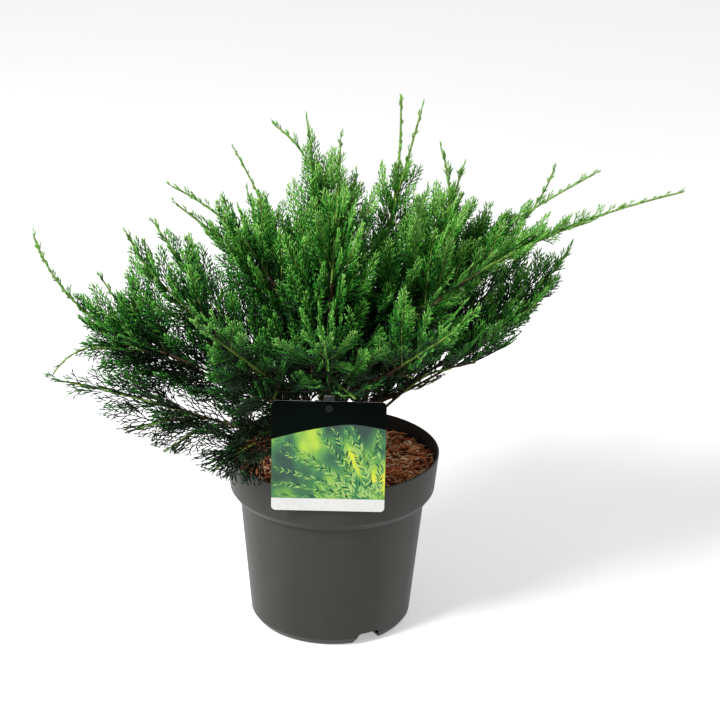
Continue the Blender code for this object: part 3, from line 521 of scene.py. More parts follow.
def pot_plastic(base):
    """Matte moulded plastic: faint cloudy tone, fine grain, and a little dust in the grain."""
    material, shader = principled("pot_plastic", base, 0.42, 0.32)
    clouds = pattern(material, place(material, (1, 1, 0.45)), 22.0, 5.0, 0.6)
    dark, plain, dusty = shades(base, 0.88, 1.0, 1.2)
    tint(material, shader, clouds, ((0.35, dark), (0.5, plain), (0.72, dusty)))
    rubs = pattern(material, place(material, (1, 1, 0.2)), 60.0, 6.0, 0.7)
    rough = node(material, "ShaderNodeMapRange")
    rough.inputs["To Min"].default_value = 0.36
    rough.inputs["To Max"].default_value = 0.56
    link(material, rubs, rough.inputs["Value"])
    link(material, rough.outputs["Result"], shader.inputs["Roughness"])
    grain = pattern(material, place(material, (1, 1, 1)), 900.0, 3.0)
    bumps(material, shader, grain, 0.00012, 0.6)
    return material


def bark_shreds(name, base):
    """Torn bark: blotched, with fine fibres."""
    material, shader = principled(name, base, 0.85, 0.25)
    blotches = pattern(material, place(material, (1, 1, 1)), 260.0, 5.0, 0.7)
    dark, plain, pale = shades(base, 0.45, 1.0, 1.45)
    tint(material, shader, blotches, ((0.32, dark), (0.5, plain), (0.7, pale)))
    fibres = pattern(material, place(material, (1, 1, 1)), 1400.0, 3.0)
    bumps(material, shader, fibres, 0.0003)
    return material


def bark(base):
    """Thin, flaking juniper bark, redder under the flakes."""
    material, shader = principled("bark", base, 0.82, 0.25)
    flakes = pattern(material, place(material, (1, 1, 0.28)), 320.0, 6.0, 0.65)
    dark, plain, pale = shades(base, 0.4, 1.0, 1.7)
    tint(material, shader, flakes, ((0.3, dark), (0.5, plain), (0.72, pale)))
    bumps(material, shader, flakes, 0.0008)
    return material


def young_wood(base):
    """Green-skinned young stems with darker leaf bases."""
    material, shader = principled("young_wood", base, 0.6, 0.35)
    leaf_bases = pattern(material, place(material, (1, 1, 1)), 420.0, 3.0, 0.6)
    dark, plain, pale = shades(base, 0.55, 1.0, 1.3)
    tint(material, shader, leaf_bases, ((0.34, dark), (0.5, plain), (0.7, pale)))
    bumps(material, shader, leaf_bases, 0.0003)
    return material


def picture_ground():
    """The blurred ground of the label's picture: lime and yellow light with dark green between."""
    material, shader = principled("picture_ground", (0.35, 0.60, 0.08), 0.3)
    blur = pattern(material, place(material, (1, 1, 0.7)), 34.0, 1.5, 0.4)
    stops = (
        (0.30, (0.006, 0.050, 0.030)),
        (0.42, (0.035, 0.190, 0.060)),
        (0.52, (0.180, 0.440, 0.060)),
        (0.62, (0.480, 0.700, 0.060)),
        (0.75, (0.850, 0.830, 0.040)),
    )
    tint(material, shader, blur, stops)
    return material


def printed(name, base, specular=0.2):
    """Matte ink with the faint mottle of print."""
    material, shader = principled(name, base, 0.6, specular)
    mottle = pattern(material, place(material, (1, 1, 1)), 700.0, 2.0)
    low, high = shades(base, 0.92, 1.08)
    tint(material, shader, mottle, ((0.3, low), (0.7, high)))
    return material


def clear_plastic():
    material, shader = principled("stake_plastic", (0.80, 0.84, 0.84), 0.12)
    shader.inputs["Transmission Weight"].default_value = 0.85
    shader.inputs["IOR"].default_value = 1.45
    scratches = pattern(material, place(material, (1, 1, 0.1)), 500.0, 4.0)
    bumps(material, shader, scratches, 0.0001, 0.4)
    return material


# Meshes


def add_piece(name, mesh, materials, replaced=()):
    """A finished piece of the plant, which stands for the CAD nodes it replaces."""
    piece = bpy.data.objects.new(name, mesh)
    bpy.context.scene.collection.objects.link(piece)
    for material in materials:
        mesh.materials.append(material)
    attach(piece, "root")
    if replaced:
        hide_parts(*replaced)
    return piece


def mesh_from(name, bm):
    mesh = bpy.data.meshes.new(name)
    bm.to_mesh(mesh)
    bm.free()
    return mesh


def rounded(points, radius, steps=4):
    """A 2D line with each inner corner drawn as a small arc."""
    line = [points[0]]
    for before, corner, after in zip(points, points[1:], points[2:]):
        corner = Vector(corner)
        back = Vector(before) - corner
        on = Vector(after) - corner
        start = corner + back.normalized() * min(radius, back.length * 0.45)
        end = corner + on.normalized() * min(radius, on.length * 0.45)
        for k in range(steps + 1):
            t = k / steps
            line.append(tuple(start * (1 - t) ** 2 + corner * (2 * t * (1 - t)) + end * t**2))
    line.append(points[-1])
    return line


def spun(profile, steps):
    """A profile of (radius, height) turned once round Z."""
    bm = bmesh.new()
    vertices = [bm.verts.new((radius, 0.0, height)) for radius, height in profile]
    edges = [bm.edges.new(pair) for pair in zip(vertices, vertices[1:])]
    bmesh.ops.spin(
        bm, geom=vertices + edges, cent=(0, 0, 0), axis=(0, 0, 1), angle=math.tau, steps=steps, use_merge=True
    )
    bmesh.ops.remove_doubles(bm, verts=bm.verts, dist=0.00001)
    bmesh.ops.recalc_face_normals(bm, faces=bm.faces)
    return bm


def smooth(mesh, angle=35.0):
    mesh.shade_smooth()
    mesh.set_sharp_from_angle(angle=math.radians(angle))
    return mesh


# Pot


def pot_profile():
    """From the middle of the underside over the outside, the rim and the inside to the floor."""
    outside = [
        (0.0, 0.0),
        (BASE_RADIUS, 0.0),
        (BASE_RADIUS + BASE_ROUNDING, BASE_ROUNDING),
        (WALL_FOOT_RADIUS, WALL_FOOT_HEIGHT),
        (SHOULDER_RADIUS, SHOULDER_HEIGHT),
        (SHOULDER_RADIUS + LEDGE_WIDTH, SHOULDER_HEIGHT + LEDGE_RISE),
        (RIM_FOOT_RADIUS - LEDGE_TOP_INSET, LEDGE_TOP_HEIGHT),
        (RIM_FOOT_RADIUS, RIM_FOOT_HEIGHT),
        (RIM_RADIUS, POT_HEIGHT),
    ]
    inside = [
        (RIM_RADIUS - POT_WALL, POT_HEIGHT),
        (RIM_FOOT_RADIUS - RIM_WALL, RIM_INNER_HEIGHT),
        (SHOULDER_RADIUS - POT_WALL, SHOULDER_HEIGHT),
        (WALL_FOOT_RADIUS - POT_WALL, INNER_FOOT_HEIGHT),
        (BASE_RADIUS, POT_FLOOR),
        (0.0, POT_FLOOR),
    ]
    return rounded(outside + inside, POT_ROUNDING)


def notch_cutter(turn):
    """A rounded trapezoid that reaches in under the pot from outside."""
    bm = bmesh.new()
    bmesh.ops.create_cube(bm, size=1.0)
    for vertex in bm.verts:
        high = vertex.co.z > 0
        width = NOTCH_TOP_WIDTH if high else NOTCH_WIDTH
        radius = 0.12 if vertex.co.x > 0 else NOTCH_INNER_RADIUS
        vertex.co = (radius, math.copysign(width / 2, vertex.co.y), NOTCH_HEIGHT if high else -0.01)
    edges = [edge for edge in bm.edges if all(v.co.z > 0 for v in edge.verts) and is_radial(edge)]
    bmesh.ops.bevel(
        bm, geom=edges, offset=NOTCH_ROUNDING, segments=5, profile=0.5, affect="EDGES", material=-1
    )
    bm.transform(Matrix.Rotation(turn, 4, "Z"))
    bmesh.ops.recalc_face_normals(bm, faces=bm.faces)
    return mesh_from("notch", bm)


def is_radial(edge):
    return abs(edge.verts[0].co.x - edge.verts[1].co.x) > 0.01


def cut_away(item, cutters):
    """Cuts the meshes out of an object and applies the cut."""
    tools = []
    for mesh in cutters:
        tool = bpy.data.objects.new("cutter", mesh)
        bpy.context.scene.collection.objects.link(tool)
        tools.append(tool)
        modifier = item.modifiers.new("Cut", "BOOLEAN")
        modifier.operation = "DIFFERENCE"
        modifier.solver = "EXACT"
        modifier.object = tool
    bpy.context.view_layer.update()
    cut = bpy.data.meshes.new_from_object(item.evaluated_get(bpy.context.evaluated_depsgraph_get()))
    item.modifiers.clear()
    item.data = cut
    for tool in tools:
        bpy.data.objects.remove(tool)


def make_pot(settings):
    mesh = mesh_from("pot_shell", spun(pot_profile(), settings.steps))
    piece = add_piece("nursery_pot", mesh, [pot_plastic(settings.plastic)], ["pot"])
    turns = [FOOT_NOTCH_TURN + index * math.tau / FOOT_NOTCHES for index in range(FOOT_NOTCHES)]
    cut_away(piece, [notch_cutter(turn) for turn in turns])
    smooth(piece.data, 30.0)


# Mulch


def bed_height(x, y):
    """Height of the mulch's bed, lower towards the pot's wall."""
    swell = noise.noise(Vector((x * 26.0, y * 26.0, 3.0)))
    grain = noise.noise(Vector((x * 120.0, y * 120.0, 8.0)))
    sag = BED_SAG * (math.hypot(x, y) / 0.12) ** 4
    return MULCH_TOP - BED_SUNK + BED_SWELL * swell + BED_GRAIN * grain - sag


def make_bed(settings):
    bm = bmesh.new()
    bmesh.ops.create_circle(bm, cap_ends=True, segments=96, radius=BED_RADIUS)
    bmesh.ops.triangulate(bm, faces=bm.faces)
    bmesh.ops.subdivide_edges(bm, edges=bm.edges, cuts=5, use_grid_fill=True)
    for vertex in bm.verts:
        vertex.co.z = bed_height(vertex.co.x, vertex.co.y)
    extruded = bmesh.ops.extrude_face_region(bm, geom=bm.faces)["geom"]
    for vertex in extruded:
        if isinstance(vertex, bmesh.types.BMVert):
            vertex.co.z = BED_FOOT
    bmesh.ops.recalc_face_normals(bm, faces=bm.faces)
    # The bed under the loose shreds takes the darkest bark colour.
    darkest = bark_shreds("dark_bed_bark", settings.dark)
    add_piece("mulch_bed", mesh_from("mulch_bed", bm), [darkest], ["bark_mulch"])


def make_shreds(settings):
    """Loose shreds of all lengths, spread evenly over the bed and turned every way."""
    rng = np.random.default_rng(7)
    count = settings.shreds
    away = LOOSE_RADIUS * np.sqrt(rng.uniform(0.01, 1.0, count))
    around = rng.uniform(0.0, math.tau, count)
    middles = np.stack([away * np.cos(around), away * np.sin(around)], axis=1)
    length = np.clip(rng.lognormal(math.log(MEAN_SHRED), 0.50, count), SHORTEST_SHRED, settings.longest)
    length = np.minimum(length, 2 * (LOOSE_RADIUS + 0.001 - away) + 0.005)
    width = np.clip(length * rng.uniform(0.07, 0.24, count), NARROWEST_SHRED, WIDEST_SHRED)
    layer = rng.uniform(0.0, 1.0, count) ** 1.4
    heights = np.array([bed_height(x, y) for x, y in middles]) + 0.0005 + LOOSE_LAYER * layer
    turn = rng.uniform(0.0, math.tau, count)
    tilt = rng.normal(0.0, 0.20, count)
    kinds = rng.choice(len(SHRED_MIX), count, p=SHRED_MIX)
    mesh = shred_mesh(middles, heights, turn, tilt, length, width, rng)
    mesh.polygons.foreach_set("material_index", np.repeat(kinds, SHRED_FACES).astype(np.int32))
    bases = (settings.dark, settings.red, settings.brown, settings.pale)
    names = ("dark_shreds", "red_shreds", "brown_shreds", "pale_shreds")
    materials = [bark_shreds(name, base) for name, base in zip(names, bases)]
    add_piece("bark_shreds", mesh, materials)


def shred_mesh(middles, heights, turn, tilt, length, width, rng):
    """All shreds in one mesh: each is a bent, twisted sliver of four-sided sections."""
    count = len(length)
    axis = np.stack([np.cos(turn) * np.cos(tilt), np.sin(turn) * np.cos(tilt), np.sin(tilt)], axis=1)
    side = np.stack([-np.sin(turn), np.cos(turn), np.zeros(count)], axis=1)
    roll = rng.normal(0.0, 0.5, count)[:, None]
    top = np.cross(axis, side)
    side, top = side * np.cos(roll) + top * np.sin(roll), top * np.cos(roll) - side * np.sin(roll)
    middle = np.column_stack([middles, heights])
    bend = rng.normal(0.0, 0.10, count) * length
    arch = rng.normal(0.0, 0.05, count) * length
    thick = width * rng.uniform(0.28, 0.5, count)
    rings = []
    for share, wide in SHRED_STATIONS:
        bow = (0.25 - share**2) * 4
        centre = middle + axis * (share * length)[:, None] + side * (bend * bow)[:, None]
        centre = centre + top * (arch * bow)[:, None]
        for sideways, up in ((-1, -1), (1, -1), (1, 1), (-1, 1)):
            corner = side * (sideways * wide * width / 2)[:, None] + top * (up * thick / 2)[:, None]
            rings.append(centre + corner)
    vertices = np.stack(rings, axis=1).reshape(-1, 3)
    faces = []
    for ring in range(len(SHRED_STATIONS) - 1):
        low = 4 * ring
        for k in range(4):
            on = (k + 1) % 4
            faces.append((low + k, low + on, low + 4 + on, low + 4 + k))
    last = 4 * (len(SHRED_STATIONS) - 1)
    faces.append((3, 2, 1, 0))
    faces.append((last, last + 1, last + 2, last + 3))
    return array_mesh("bark_shreds", vertices, repeated(faces, count, 4 * len(SHRED_STATIONS)))


# Label


def band_edge(share):
    """Height of the band's lower edge over the card's foot, at a share of its width."""
    if share < BAND_PEAK_AT:
        return BAND_PEAK - (BAND_PEAK - BAND_LEFT) * ((BAND_PEAK_AT - share) / BAND_PEAK_AT) ** 1.5
    return BAND_PEAK - (BAND_PEAK - BAND_RIGHT) * ((share - BAND_PEAK_AT) / (1.0 - BAND_PEAK_AT)) ** 1.5


def card_corner(right, high):
    """The arc of one of the card's corners, counterclockwise as seen from the front."""
    middle_x = LABEL_WIDTH - LABEL_CORNER if right else LABEL_CORNER
    middle_z = LABEL_HEIGHT - LABEL_CORNER if high else LABEL_CORNER
    start = {(False, False): 180, (True, False): 270, (True, True): 0, (False, True): 90}[(right, high)]
    turns = [math.radians(start + 90 * k / 6) for k in range(7)]
    return [(middle_x + LABEL_CORNER * math.cos(a), middle_z + LABEL_CORNER * math.sin(a)) for a in turns]


def plate(name, outline, back, thickness):
    """A flat plate that faces the viewer, from an outline in the card's own width and height."""
    bm = bmesh.new()
    low_x = LABEL_MIDDLE_X - LABEL_WIDTH / 2
    vertices = [bm.verts.new((low_x + x, back, LABEL_LOW + z)) for x, z in outline]
    face = bm.faces.new(vertices)
    raised = bmesh.ops.extrude_face_region(bm, geom=[face])["geom"]
    moved = [item for item in raised if isinstance(item, bmesh.types.BMVert)]
    bmesh.ops.translate(bm, verts=moved, vec=(0, -thickness, 0))
    bmesh.ops.recalc_face_normals(bm, faces=bm.faces)
    return mesh_from(name, bm)


def leaf_outline(x, z, turn, length, width):
    """A pointed leaf: two arcs from its stalk to its tip."""
    side = [(k / 8, math.sin(math.pi * (k / 8) ** 0.8)) for k in range(9)]
    points = [(share * length, bow * width / 2) for share, bow in side]
    points += [(share * length, -bow * width / 2) for share, bow in reversed(side[1:-1])]
    return [
        (x + a * math.cos(turn) - b * math.sin(turn), z + a * math.sin(turn) + b * math.cos(turn))
        for a, b in points
    ]


def inside_picture(outline):
    """True where a whole outline lies on the picture, clear of its edges."""
    return all(
        PICTURE_SIDE < x < LABEL_WIDTH - PICTURE_SIDE
        and STRIP_HEIGHT + PICTURE_EDGE < z < band_edge(x / LABEL_WIDTH) - PICTURE_EDGE
        for x, z in outline
    )


def picture_sprigs():
    """Outlines of the leaflets on arching sprigs that fan out from the picture's lower right."""
    rng = random.Random(21)
    leaflets = []
    for sprig in range(SPRIGS):
        turn = math.radians(SPRIG_FIRST_TURN + SPRIG_TURN * sprig + rng.uniform(-3, 3))
        bow = math.radians(rng.uniform(-26, 26))
        x = 0.126 - 0.010 * (sprig % 3)
        z = STRIP_HEIGHT - 0.004
        for step in range(SPRIG_STEPS):
            onward = turn + bow * step / SPRIG_STEPS
            x += SPRIG_STEP * math.cos(onward)
            z += SPRIG_STEP * math.sin(onward)
            length = (LEAFLET_LENGTH - 0.00012 * step) * rng.uniform(0.8, 1.2)
            for hand in (-1, 1):
                leaf_turn = onward + hand * rng.uniform(0.5, 0.8)
                outline = leaf_outline(x, z, leaf_turn, length, length * LEAFLET_WIDTH)
                if inside_picture(outline):
                    leaflets.append(outline)
    rng.shuffle(leaflets)
    return leaflets


def joined(name, meshes):
    """Several meshes as one, without the meshes themselves."""
    bm = bmesh.new()
    for mesh in meshes:
        bm.from_mesh(mesh)
        bpy.data.meshes.remove(mesh)
    return mesh_from(name, bm)


def make_card(settings):
    """The card with its dark band and the ground of its picture."""
    corners = ((False, False), (True, False), (True, True), (False, True))
    outline = [point for right, high in corners for point in card_corner(right, high)]
    card = plate("card", outline, LABEL_BACK, LABEL_THICKNESS)
    white = printed("label_card", settings.card)
    add_piece("picture_card", card, [white], ["label_card"])

    steps = 24
    edge = [(LABEL_WIDTH * k / steps, band_edge(k / steps)) for k in range(steps + 1)]
    band = edge + card_corner(True, True) + card_corner(False, True)
    band_ink = printed("band_ink", settings.band, 0.03)
    add_piece("card_band", plate("band", band, LABEL_FRONT, PRINT_THICKNESS), [band_ink])
    ground = [(0.0, STRIP_HEIGHT), (LABEL_WIDTH, STRIP_HEIGHT), *reversed(edge)]
    picture = plate("picture", ground, LABEL_FRONT, PRINT_THICKNESS)
    add_piece("card_picture", picture, [picture_ground()])


def make_leaflets():
    """The picture's leaflets, dealt out to four inks, each a thin plate over the one before."""
    inks = (
        ("leaf_dark", (0.012, 0.095, 0.050)),
        ("leaf_green", (0.060, 0.260, 0.090)),
        ("leaf_light", (0.190, 0.450, 0.130)),
        ("leaf_lime", (0.420, 0.680, 0.200)),
    )
    leaflets = picture_sprigs()
    share = math.ceil(len(leaflets) / len(inks))
    for order, (name, ink) in enumerate(inks):
        plates = []
        for number, leaflet in enumerate(leaflets[order * share:(order + 1) * share]):
            back = LABEL_FRONT - PRINT_THICKNESS - LEAFLET_STEP * (order * share + number)
            plates.append(plate(name, leaflet, back, LEAFLET_STEP * 3))
        add_piece(f"card_{name}", joined(name, plates), [printed(name, ink)])


def make_stake():
    bm = bmesh.new()
    middle = (LABEL_MIDDLE_X, STAKE_FRONT + STAKE_THICKNESS / 2, (STAKE_FOOT + STAKE_TOP) / 2)
    lengths = (STAKE_WIDTH, STAKE_THICKNESS, STAKE_TOP - STAKE_FOOT)
    shape = Matrix.Translation(middle) @ Matrix.Diagonal((*lengths, 1.0))
    bmesh.ops.create_cube(bm, size=1.0, matrix=shape)
    bmesh.ops.bevel(
        bm, geom=bm.edges, offset=STAKE_ROUNDING, segments=3, profile=0.5, affect="EDGES", material=-1
    )
    stake = smooth(mesh_from("stake", bm))
    add_piece("clear_stake", stake, [clear_plastic()], ["label_stake"])


def make_peg(settings):
    """The knob that holds the card, turned upright and then laid towards the viewer."""
    outline = [
        (0.0, 0.0),
        (PEG_HEAD_RADIUS, 0.0),
        (PEG_HEAD_RADIUS, PEG_HEAD_THICKNESS),
        (PEG_RADIUS, PEG_HEAD_THICKNESS + 0.0006),
        (PEG_RADIUS, PEG_LENGTH),
        (0.0, PEG_LENGTH),
    ]
    bm = spun(rounded(outline, 0.0007), 40)
    front = Matrix.Translation((LABEL_MIDDLE_X, LABEL_FRONT - PEG_STANDS_OUT, PEG_HEIGHT))
    bm.transform(front @ Matrix.Rotation(-math.pi / 2, 4, "X"))
    material, shader = principled("peg_plastic", settings.peg, 0.25, 0.1)
    grain = pattern(material, place(material, (1, 1, 1)), 800.0)
    bumps(material, shader, grain, 0.0001, 0.4)
    add_piece("stake_peg", smooth(mesh_from("peg", bm)), [material])


# Routes of the limbs


def heading(azimuth, rise):
    """The unit vector of an azimuth and a rise over level, both in degrees."""
    azimuth = math.radians(azimuth)
    rise = math.radians(rise)
    return Vector((math.cos(azimuth) * math.cos(rise), math.sin(azimuth) * math.cos(rise), math.sin(rise)))


def trunk_point(share):
    return TRUNK_FOOT + TRUNK_LEAN * (TRUNK_LENGTH * share)


def route_ends(name):
    """The four control points of a shoot's curve, from its parent's middle to its own tip."""
    bough = BOUGHS[name]
    if bough.parent == "trunk":
        foot = trunk_point(bough.leaves_at)
    else:
        foot = route_point(bough.parent, bough.leaves_at * BOUGHS[bough.parent].share)
    around = math.radians(bough.tip_azimuth)
    tip = Vector((bough.reach * math.cos(around), bough.reach * math.sin(around), bough.height))
    handle = BEND * (tip - foot).length
    leaves = foot + heading(bough.azimuth, bough.rise) * handle
    arrives = tip - heading(bough.tip_azimuth, bough.tip_rise) * handle
    return foot, leaves, arrives, tip


def route_point(name, share):
    """A point of the shoot, at a share from 0 at its parent to 1 at its tip."""
    foot, leaves, arrives, tip = route_ends(name)
    rest = 1.0 - share
    return (
        foot * rest**3
        + leaves * (3 * rest**2 * share)
        + arrives * (3 * rest * share**2)
        + tip * share**3
    )


def route(name, start, end, count):
    return [route_point(name, start + (end - start) * k / (count - 1)) for k in range(count)]


def length_of(path):
    return sum((b - a).length for a, b in zip(path, path[1:]))


def along(path, share):
    """The point and direction at a share of a path's length."""
    left = share * length_of(path)
    for first, second in zip(path, path[1:]):
        step = (second - first).length
        if left <= step or second is path[-1]:
            return first.lerp(second, min(1.0, left / step)), (second - first).normalized()
        left -= step


def bough_radius(name, share):
    """A bough's radius at a share of its own length, from its foot to its tip."""
    return BOUGHS[name].gauge * (1.0 - 0.52 * share)


Leader = namedtuple("Leader", "plume order path start")
# order: 0 for a bough with its plume's stem, 1 for a second leader. start: the share of the path where
# the plume starts


def leaders_of(name):
    """The plume's stem with the bough that carries it, and its second leaders."""
    bough = BOUGHS[name]
    whole = route(name, 0.0, 1.0, 48)
    plume = route(name, bough.share, 1.0, 24)
    start = 1.0 - length_of(plume) / length_of(whole)
    leaders = [Leader(name, 0, whole, start)]
    stem_end = 1.0 - 0.9 * min(LONGEST_TIP, TIP_SHARE * length_of(plume)) / length_of(plume)
    for share, turn, rise, length in bough.forks:
        root, direction = along(plume, share * stem_end)
        azimuth = math.degrees(math.atan2(direction.y, direction.x)) + turn
        level = math.degrees(math.asin(direction.z)) + rise
        first = (direction + heading(azimuth, level)).normalized()
        bend = root + first * (length * 0.4)
        end = bend + heading(azimuth, level) * (length * 0.6)
        tip_end = end + (end - bend).normalized() * (0.3 * length)
        curve = [root, bend.lerp(root, 0.3), bend.lerp(end, 0.15), end, tip_end]
        leaders.append(Leader(name, 1, curve, 0.0))
    return leaders


# Wood


def limb_rings(path, radius_at, sides, gap, relief, seed, first=None, lobes=0):
    """A closed limb with the bark's relief: rings along the path, each bridged to the next."""
    bm = bmesh.new()
    length = length_of(path)
    count = max(4, round(length / gap))
    turn = (first or along(path, 0.0)[1]).to_track_quat("Z", "Y")
    before = None
    for index in range(count + 1):
        share = index / count
        point, direction = along(path, share)
        if index > 0:
            turn = (turn @ UP).rotation_difference(direction) @ turn
        radius = radius_at(share)
        ring = bmesh.ops.create_circle(
            bm, cap_ends=index in (0, count), segments=sides, radius=radius,
            matrix=Matrix.Translation(point) @ turn.to_matrix().to_4x4(),
        )["verts"]
        for vertex in ring:
            arm = vertex.co - point
            around = math.atan2(arm.y, arm.x)
            swell = 1.0 + ROOT_LOBE_DEPTH * (1.0 - share) ** 2 * math.cos(lobes * around) if lobes else 1.0
            ridge = noise.noise((arm / radius) * 1.8 + Vector((seed, 0.0, share * length * 60.0)))
            flake = noise.noise((arm / radius) * 4.5 + Vector((0.0, seed, share * length * 170.0)))
            vertex.co = point + arm * (swell - relief * 0.5 + relief * (0.7 * ridge + 0.4 * flake))
        edges = list({edge for vertex in ring for edge in vertex.link_edges})
        if before:
            bmesh.ops.bridge_loops(bm, edges=before + edges)
        before = edges
    bmesh.ops.recalc_face_normals(bm, faces=bm.faces)
    return mesh_from("limb", bm)


def trunk_radius(share):
    for (low, wide), (high, slim) in zip(TRUNK_STATIONS, TRUNK_STATIONS[1:]):
        if share <= high:
            return wide + (slim - wide) * (share - low) / (high - low)
    return TRUNK_STATIONS[-1][1]


def part_of(path, start, end, count=40):
    """Evenly spaced points of a path, from one share of it to another."""
    return [along(path, start + (end - start) * k / (count - 1))[0] for k in range(count)]


def clear_part(path, hem):
    """The path as far as it keeps clear of the label and over the crown's bare foot."""
    points = np.array(path)
    free = has_room(points) & over_bare_foot(points, hem)
    clear = len(path) if free.all() else int(np.argmin(free))
    return path[:max(clear, 4)]


def limb_radius(leader, share):
    """Along the bough's own taper, then down to the young stem's tip."""
    if leader.order == 0:
        foot = bough_radius(leader.plume, 0.0)
        neck = 0.48 * foot
    else:
        foot = 0.75 * bough_radius(leader.plume, 1.0)
        neck = foot
    if share < leader.start:
        return foot + (neck - foot) * share / leader.start
    return neck + (STEM_TIP_RADIUS - neck) * ((share - leader.start) / (1.0 - leader.start)) ** 0.8


def make_wood(settings):
    trunk = [trunk_point(k / 10) for k in range(11)]
    limbs = [limb_rings(trunk, trunk_radius, TRUNK_SIDES, settings.ring_gap * 0.7, settings.relief * 0.6,
                        1.0, UP, ROOT_LOBES)]
    shoots = []
    for number, name in enumerate(BOUGHS):
        for leader in leaders_of(name):
            change = leader.start + (1.0 - leader.start) * GREEN_FROM
            lower = part_of(leader.path, 0.0, change)
            upper = clear_part(part_of(leader.path, change, 0.995), HABITS.get(name, UPRIGHT).hem)
            limbs.append(limb_rings(
                lower, lambda share: limb_radius(leader, share * change),
                BOUGH_SIDES, settings.ring_gap, settings.relief, 3.0 + number,
            ))
            shoots.append(limb_rings(
                upper, lambda share: limb_radius(leader, change + share * (1.0 - change)),
                STEM_SIDES, settings.ring_gap * 1.4, settings.relief * 0.7, 40.0 + number,
            ))
    nodes = ["trunk", *[f"bough_{name}" for name in BOUGHS]]
    add_piece("trunk_and_boughs", smooth(joined("wood", limbs), 60.0), [bark(settings.bark)], nodes)
    add_piece("young_stems", smooth(joined("stems", shoots), 60.0), [young_wood(settings.young)])


# Foliage


Shoots = namedtuple("Shoots", "root first lifted length flat tone")
# Arrays, one row a shoot: where it leaves, its first and last direction, its length, the normal of
# the plane in which it branches and its tone of painted light and shade (0 shade to 4 fresh and
# lit), which laterals leave at 0
Plume = namedtuple("Plume", "laterals cords thickness")
# laterals: the shoots on the leaders. cords: the sprays on them and the cords on the sprays.
# thickness: of each cord, over the usual one


def unit(vectors):
    return vectors / np.maximum(np.linalg.norm(vectors, axis=-1, keepdims=True), 1e-9)


def laterals_on(leader, rng, fullness):
    """Rows for one leader's laterals, by the golden turn, shortening towards its tip."""
    bough = BOUGHS[leader.plume]
    habit = HABITS.get(leader.plume, UPRIGHT)
    length = length_of(leader.path)
    begin = leader.start * FIRST_LATERAL
    count = max(3, round(length * (1.0 - begin) * fullness / habit.lateral_gap))
    roll = rng.uniform(0.0, math.tau)
    rows = []
    for k in range(count):
        at = begin + (1.0 - begin) * (k + 0.5 + rng.uniform(-0.3, 0.3)) / count
        roll += GOLDEN_TURN + rng.uniform(-0.3, 0.3)
        root, direction = along(leader.path, at)
        share = (at - leader.start) / (1.0 - leader.start)
        up_it = min(max(share, 0.0), 1.0)
        angle = math.radians(habit.angle_low + (habit.angle_high - habit.angle_low) * up_it)
        reach = bough.spread * lateral_share(share, habit) * rng.uniform(*LATERAL_SPREAD)
        if rng.random() < habit.strong_share and share < STRONG_UP_TO:
            reach *= STRONG_REACH
        side = across(direction, roll)
        reach *= 1.0 - habit.underside * max(0.0, -side.z)
        first = (direction * math.cos(angle) + side * math.sin(angle)).normalized()
        lifted = (first + UP * habit.upturn + direction * 0.45).normalized()
        flat = direction.cross(side).normalized()
        rows.append((*root, *first, *lifted, reach, *flat))
    return rows


def lateral_share(share, habit):
    """A lateral's length over the plume's spread: shorter on the bough, and down to a bare whip."""
    if share < 0.0:
        return habit.reach + 0.4 * share
    bare = min(max((share - habit.bare_from) / (habit.bare_to - habit.bare_from), 0.0), 1.0)
    return habit.bare_reach + (habit.reach - habit.bare_reach) * (1.0 - bare * bare * (3.0 - 2.0 * bare))


def across(direction, roll):
    """A unit vector square to a direction, turned about it by roll."""
    side = direction.cross(UP)
    if side.length < 0.05:
        side = direction.cross(Vector((0.0, 1.0, 0.0)))
    side.normalize()
    return Matrix.Rotation(roll, 3, direction) @ side


def points_on(shoots, index, share):
    """Places and directions on shoots: each bends from its first to its last direction halfway."""
    share = share[:, None]
    half = shoots.length[index][:, None] / 2
    first = shoots.first[index]
    lifted = shoots.lifted[index]
    middle = shoots.root[index] + first * half
    tip = middle + lifted * half
    place = shoots.root[index] * (1 - share) ** 2 + middle * 2 * share * (1 - share) + tip * share**2
    return place, unit(first * (1 - share) + lifted * share)


def side_shoots(shoots, rng, gap, start, angle, size_at, leave_plane, lift, ends):
    """Shoots on both sides of each shoot, evenly spaced from a start share to its tip.

    size_at gives their lengths from the parent's length and the share. Where ends is true the last
    one goes on from the parent's tip.
    """
    counts = np.maximum(1, np.round(shoots.length * (1 - start) / gap)).astype(int) + int(ends)
    index = np.repeat(np.arange(len(counts)), counts)
    order = np.arange(len(index)) - np.repeat(np.cumsum(counts) - counts, counts)
    last = (order == counts[index] - 1) & ends
    middles = order + 0.5 + rng.uniform(-0.25, 0.25, len(index))
    along_it = middles / np.maximum(counts[index] - 0.5 * ends, 1)
    share = np.where(last, 0.97, np.clip(start + (1 - start) * along_it, 0.0, 0.97))
    root, direction = points_on(shoots, index, share)
    hand = np.where(order % 2 == 0, 1.0, -1.0)[:, None]
    flat = shoots.flat[index]
    outward = unit(np.cross(direction, flat)) * hand
    outward = unit(outward + flat * rng.uniform(-leave_plane, leave_plane, (len(index), 1)))
    turn = angle * rng.uniform(0.82, 1.18, (len(index), 1)) * np.where(last, 0.1, 1.0)[:, None]
    first = unit(direction * np.cos(turn) + outward * np.sin(turn))
    lifted = unit(first + direction * 0.5 + np.array([0.0, 0.0, lift]))
    length = size_at(shoots.length[index], share) * rng.uniform(0.78, 1.18, len(index))
    twist = rng.normal(0.0, 0.16, (len(index), 3))
    side = Shoots(root, first, lifted, length, unit(flat + twist), shoots.tone[index])
    return side, share


def only(shoots, keep):
    """The shoots for which keep is true."""
    return Shoots(*[column[keep] for column in shoots])


def tips_of(shoots):
    index = np.arange(len(shoots.length))
    return points_on(shoots, index, np.ones(len(index)))[0]


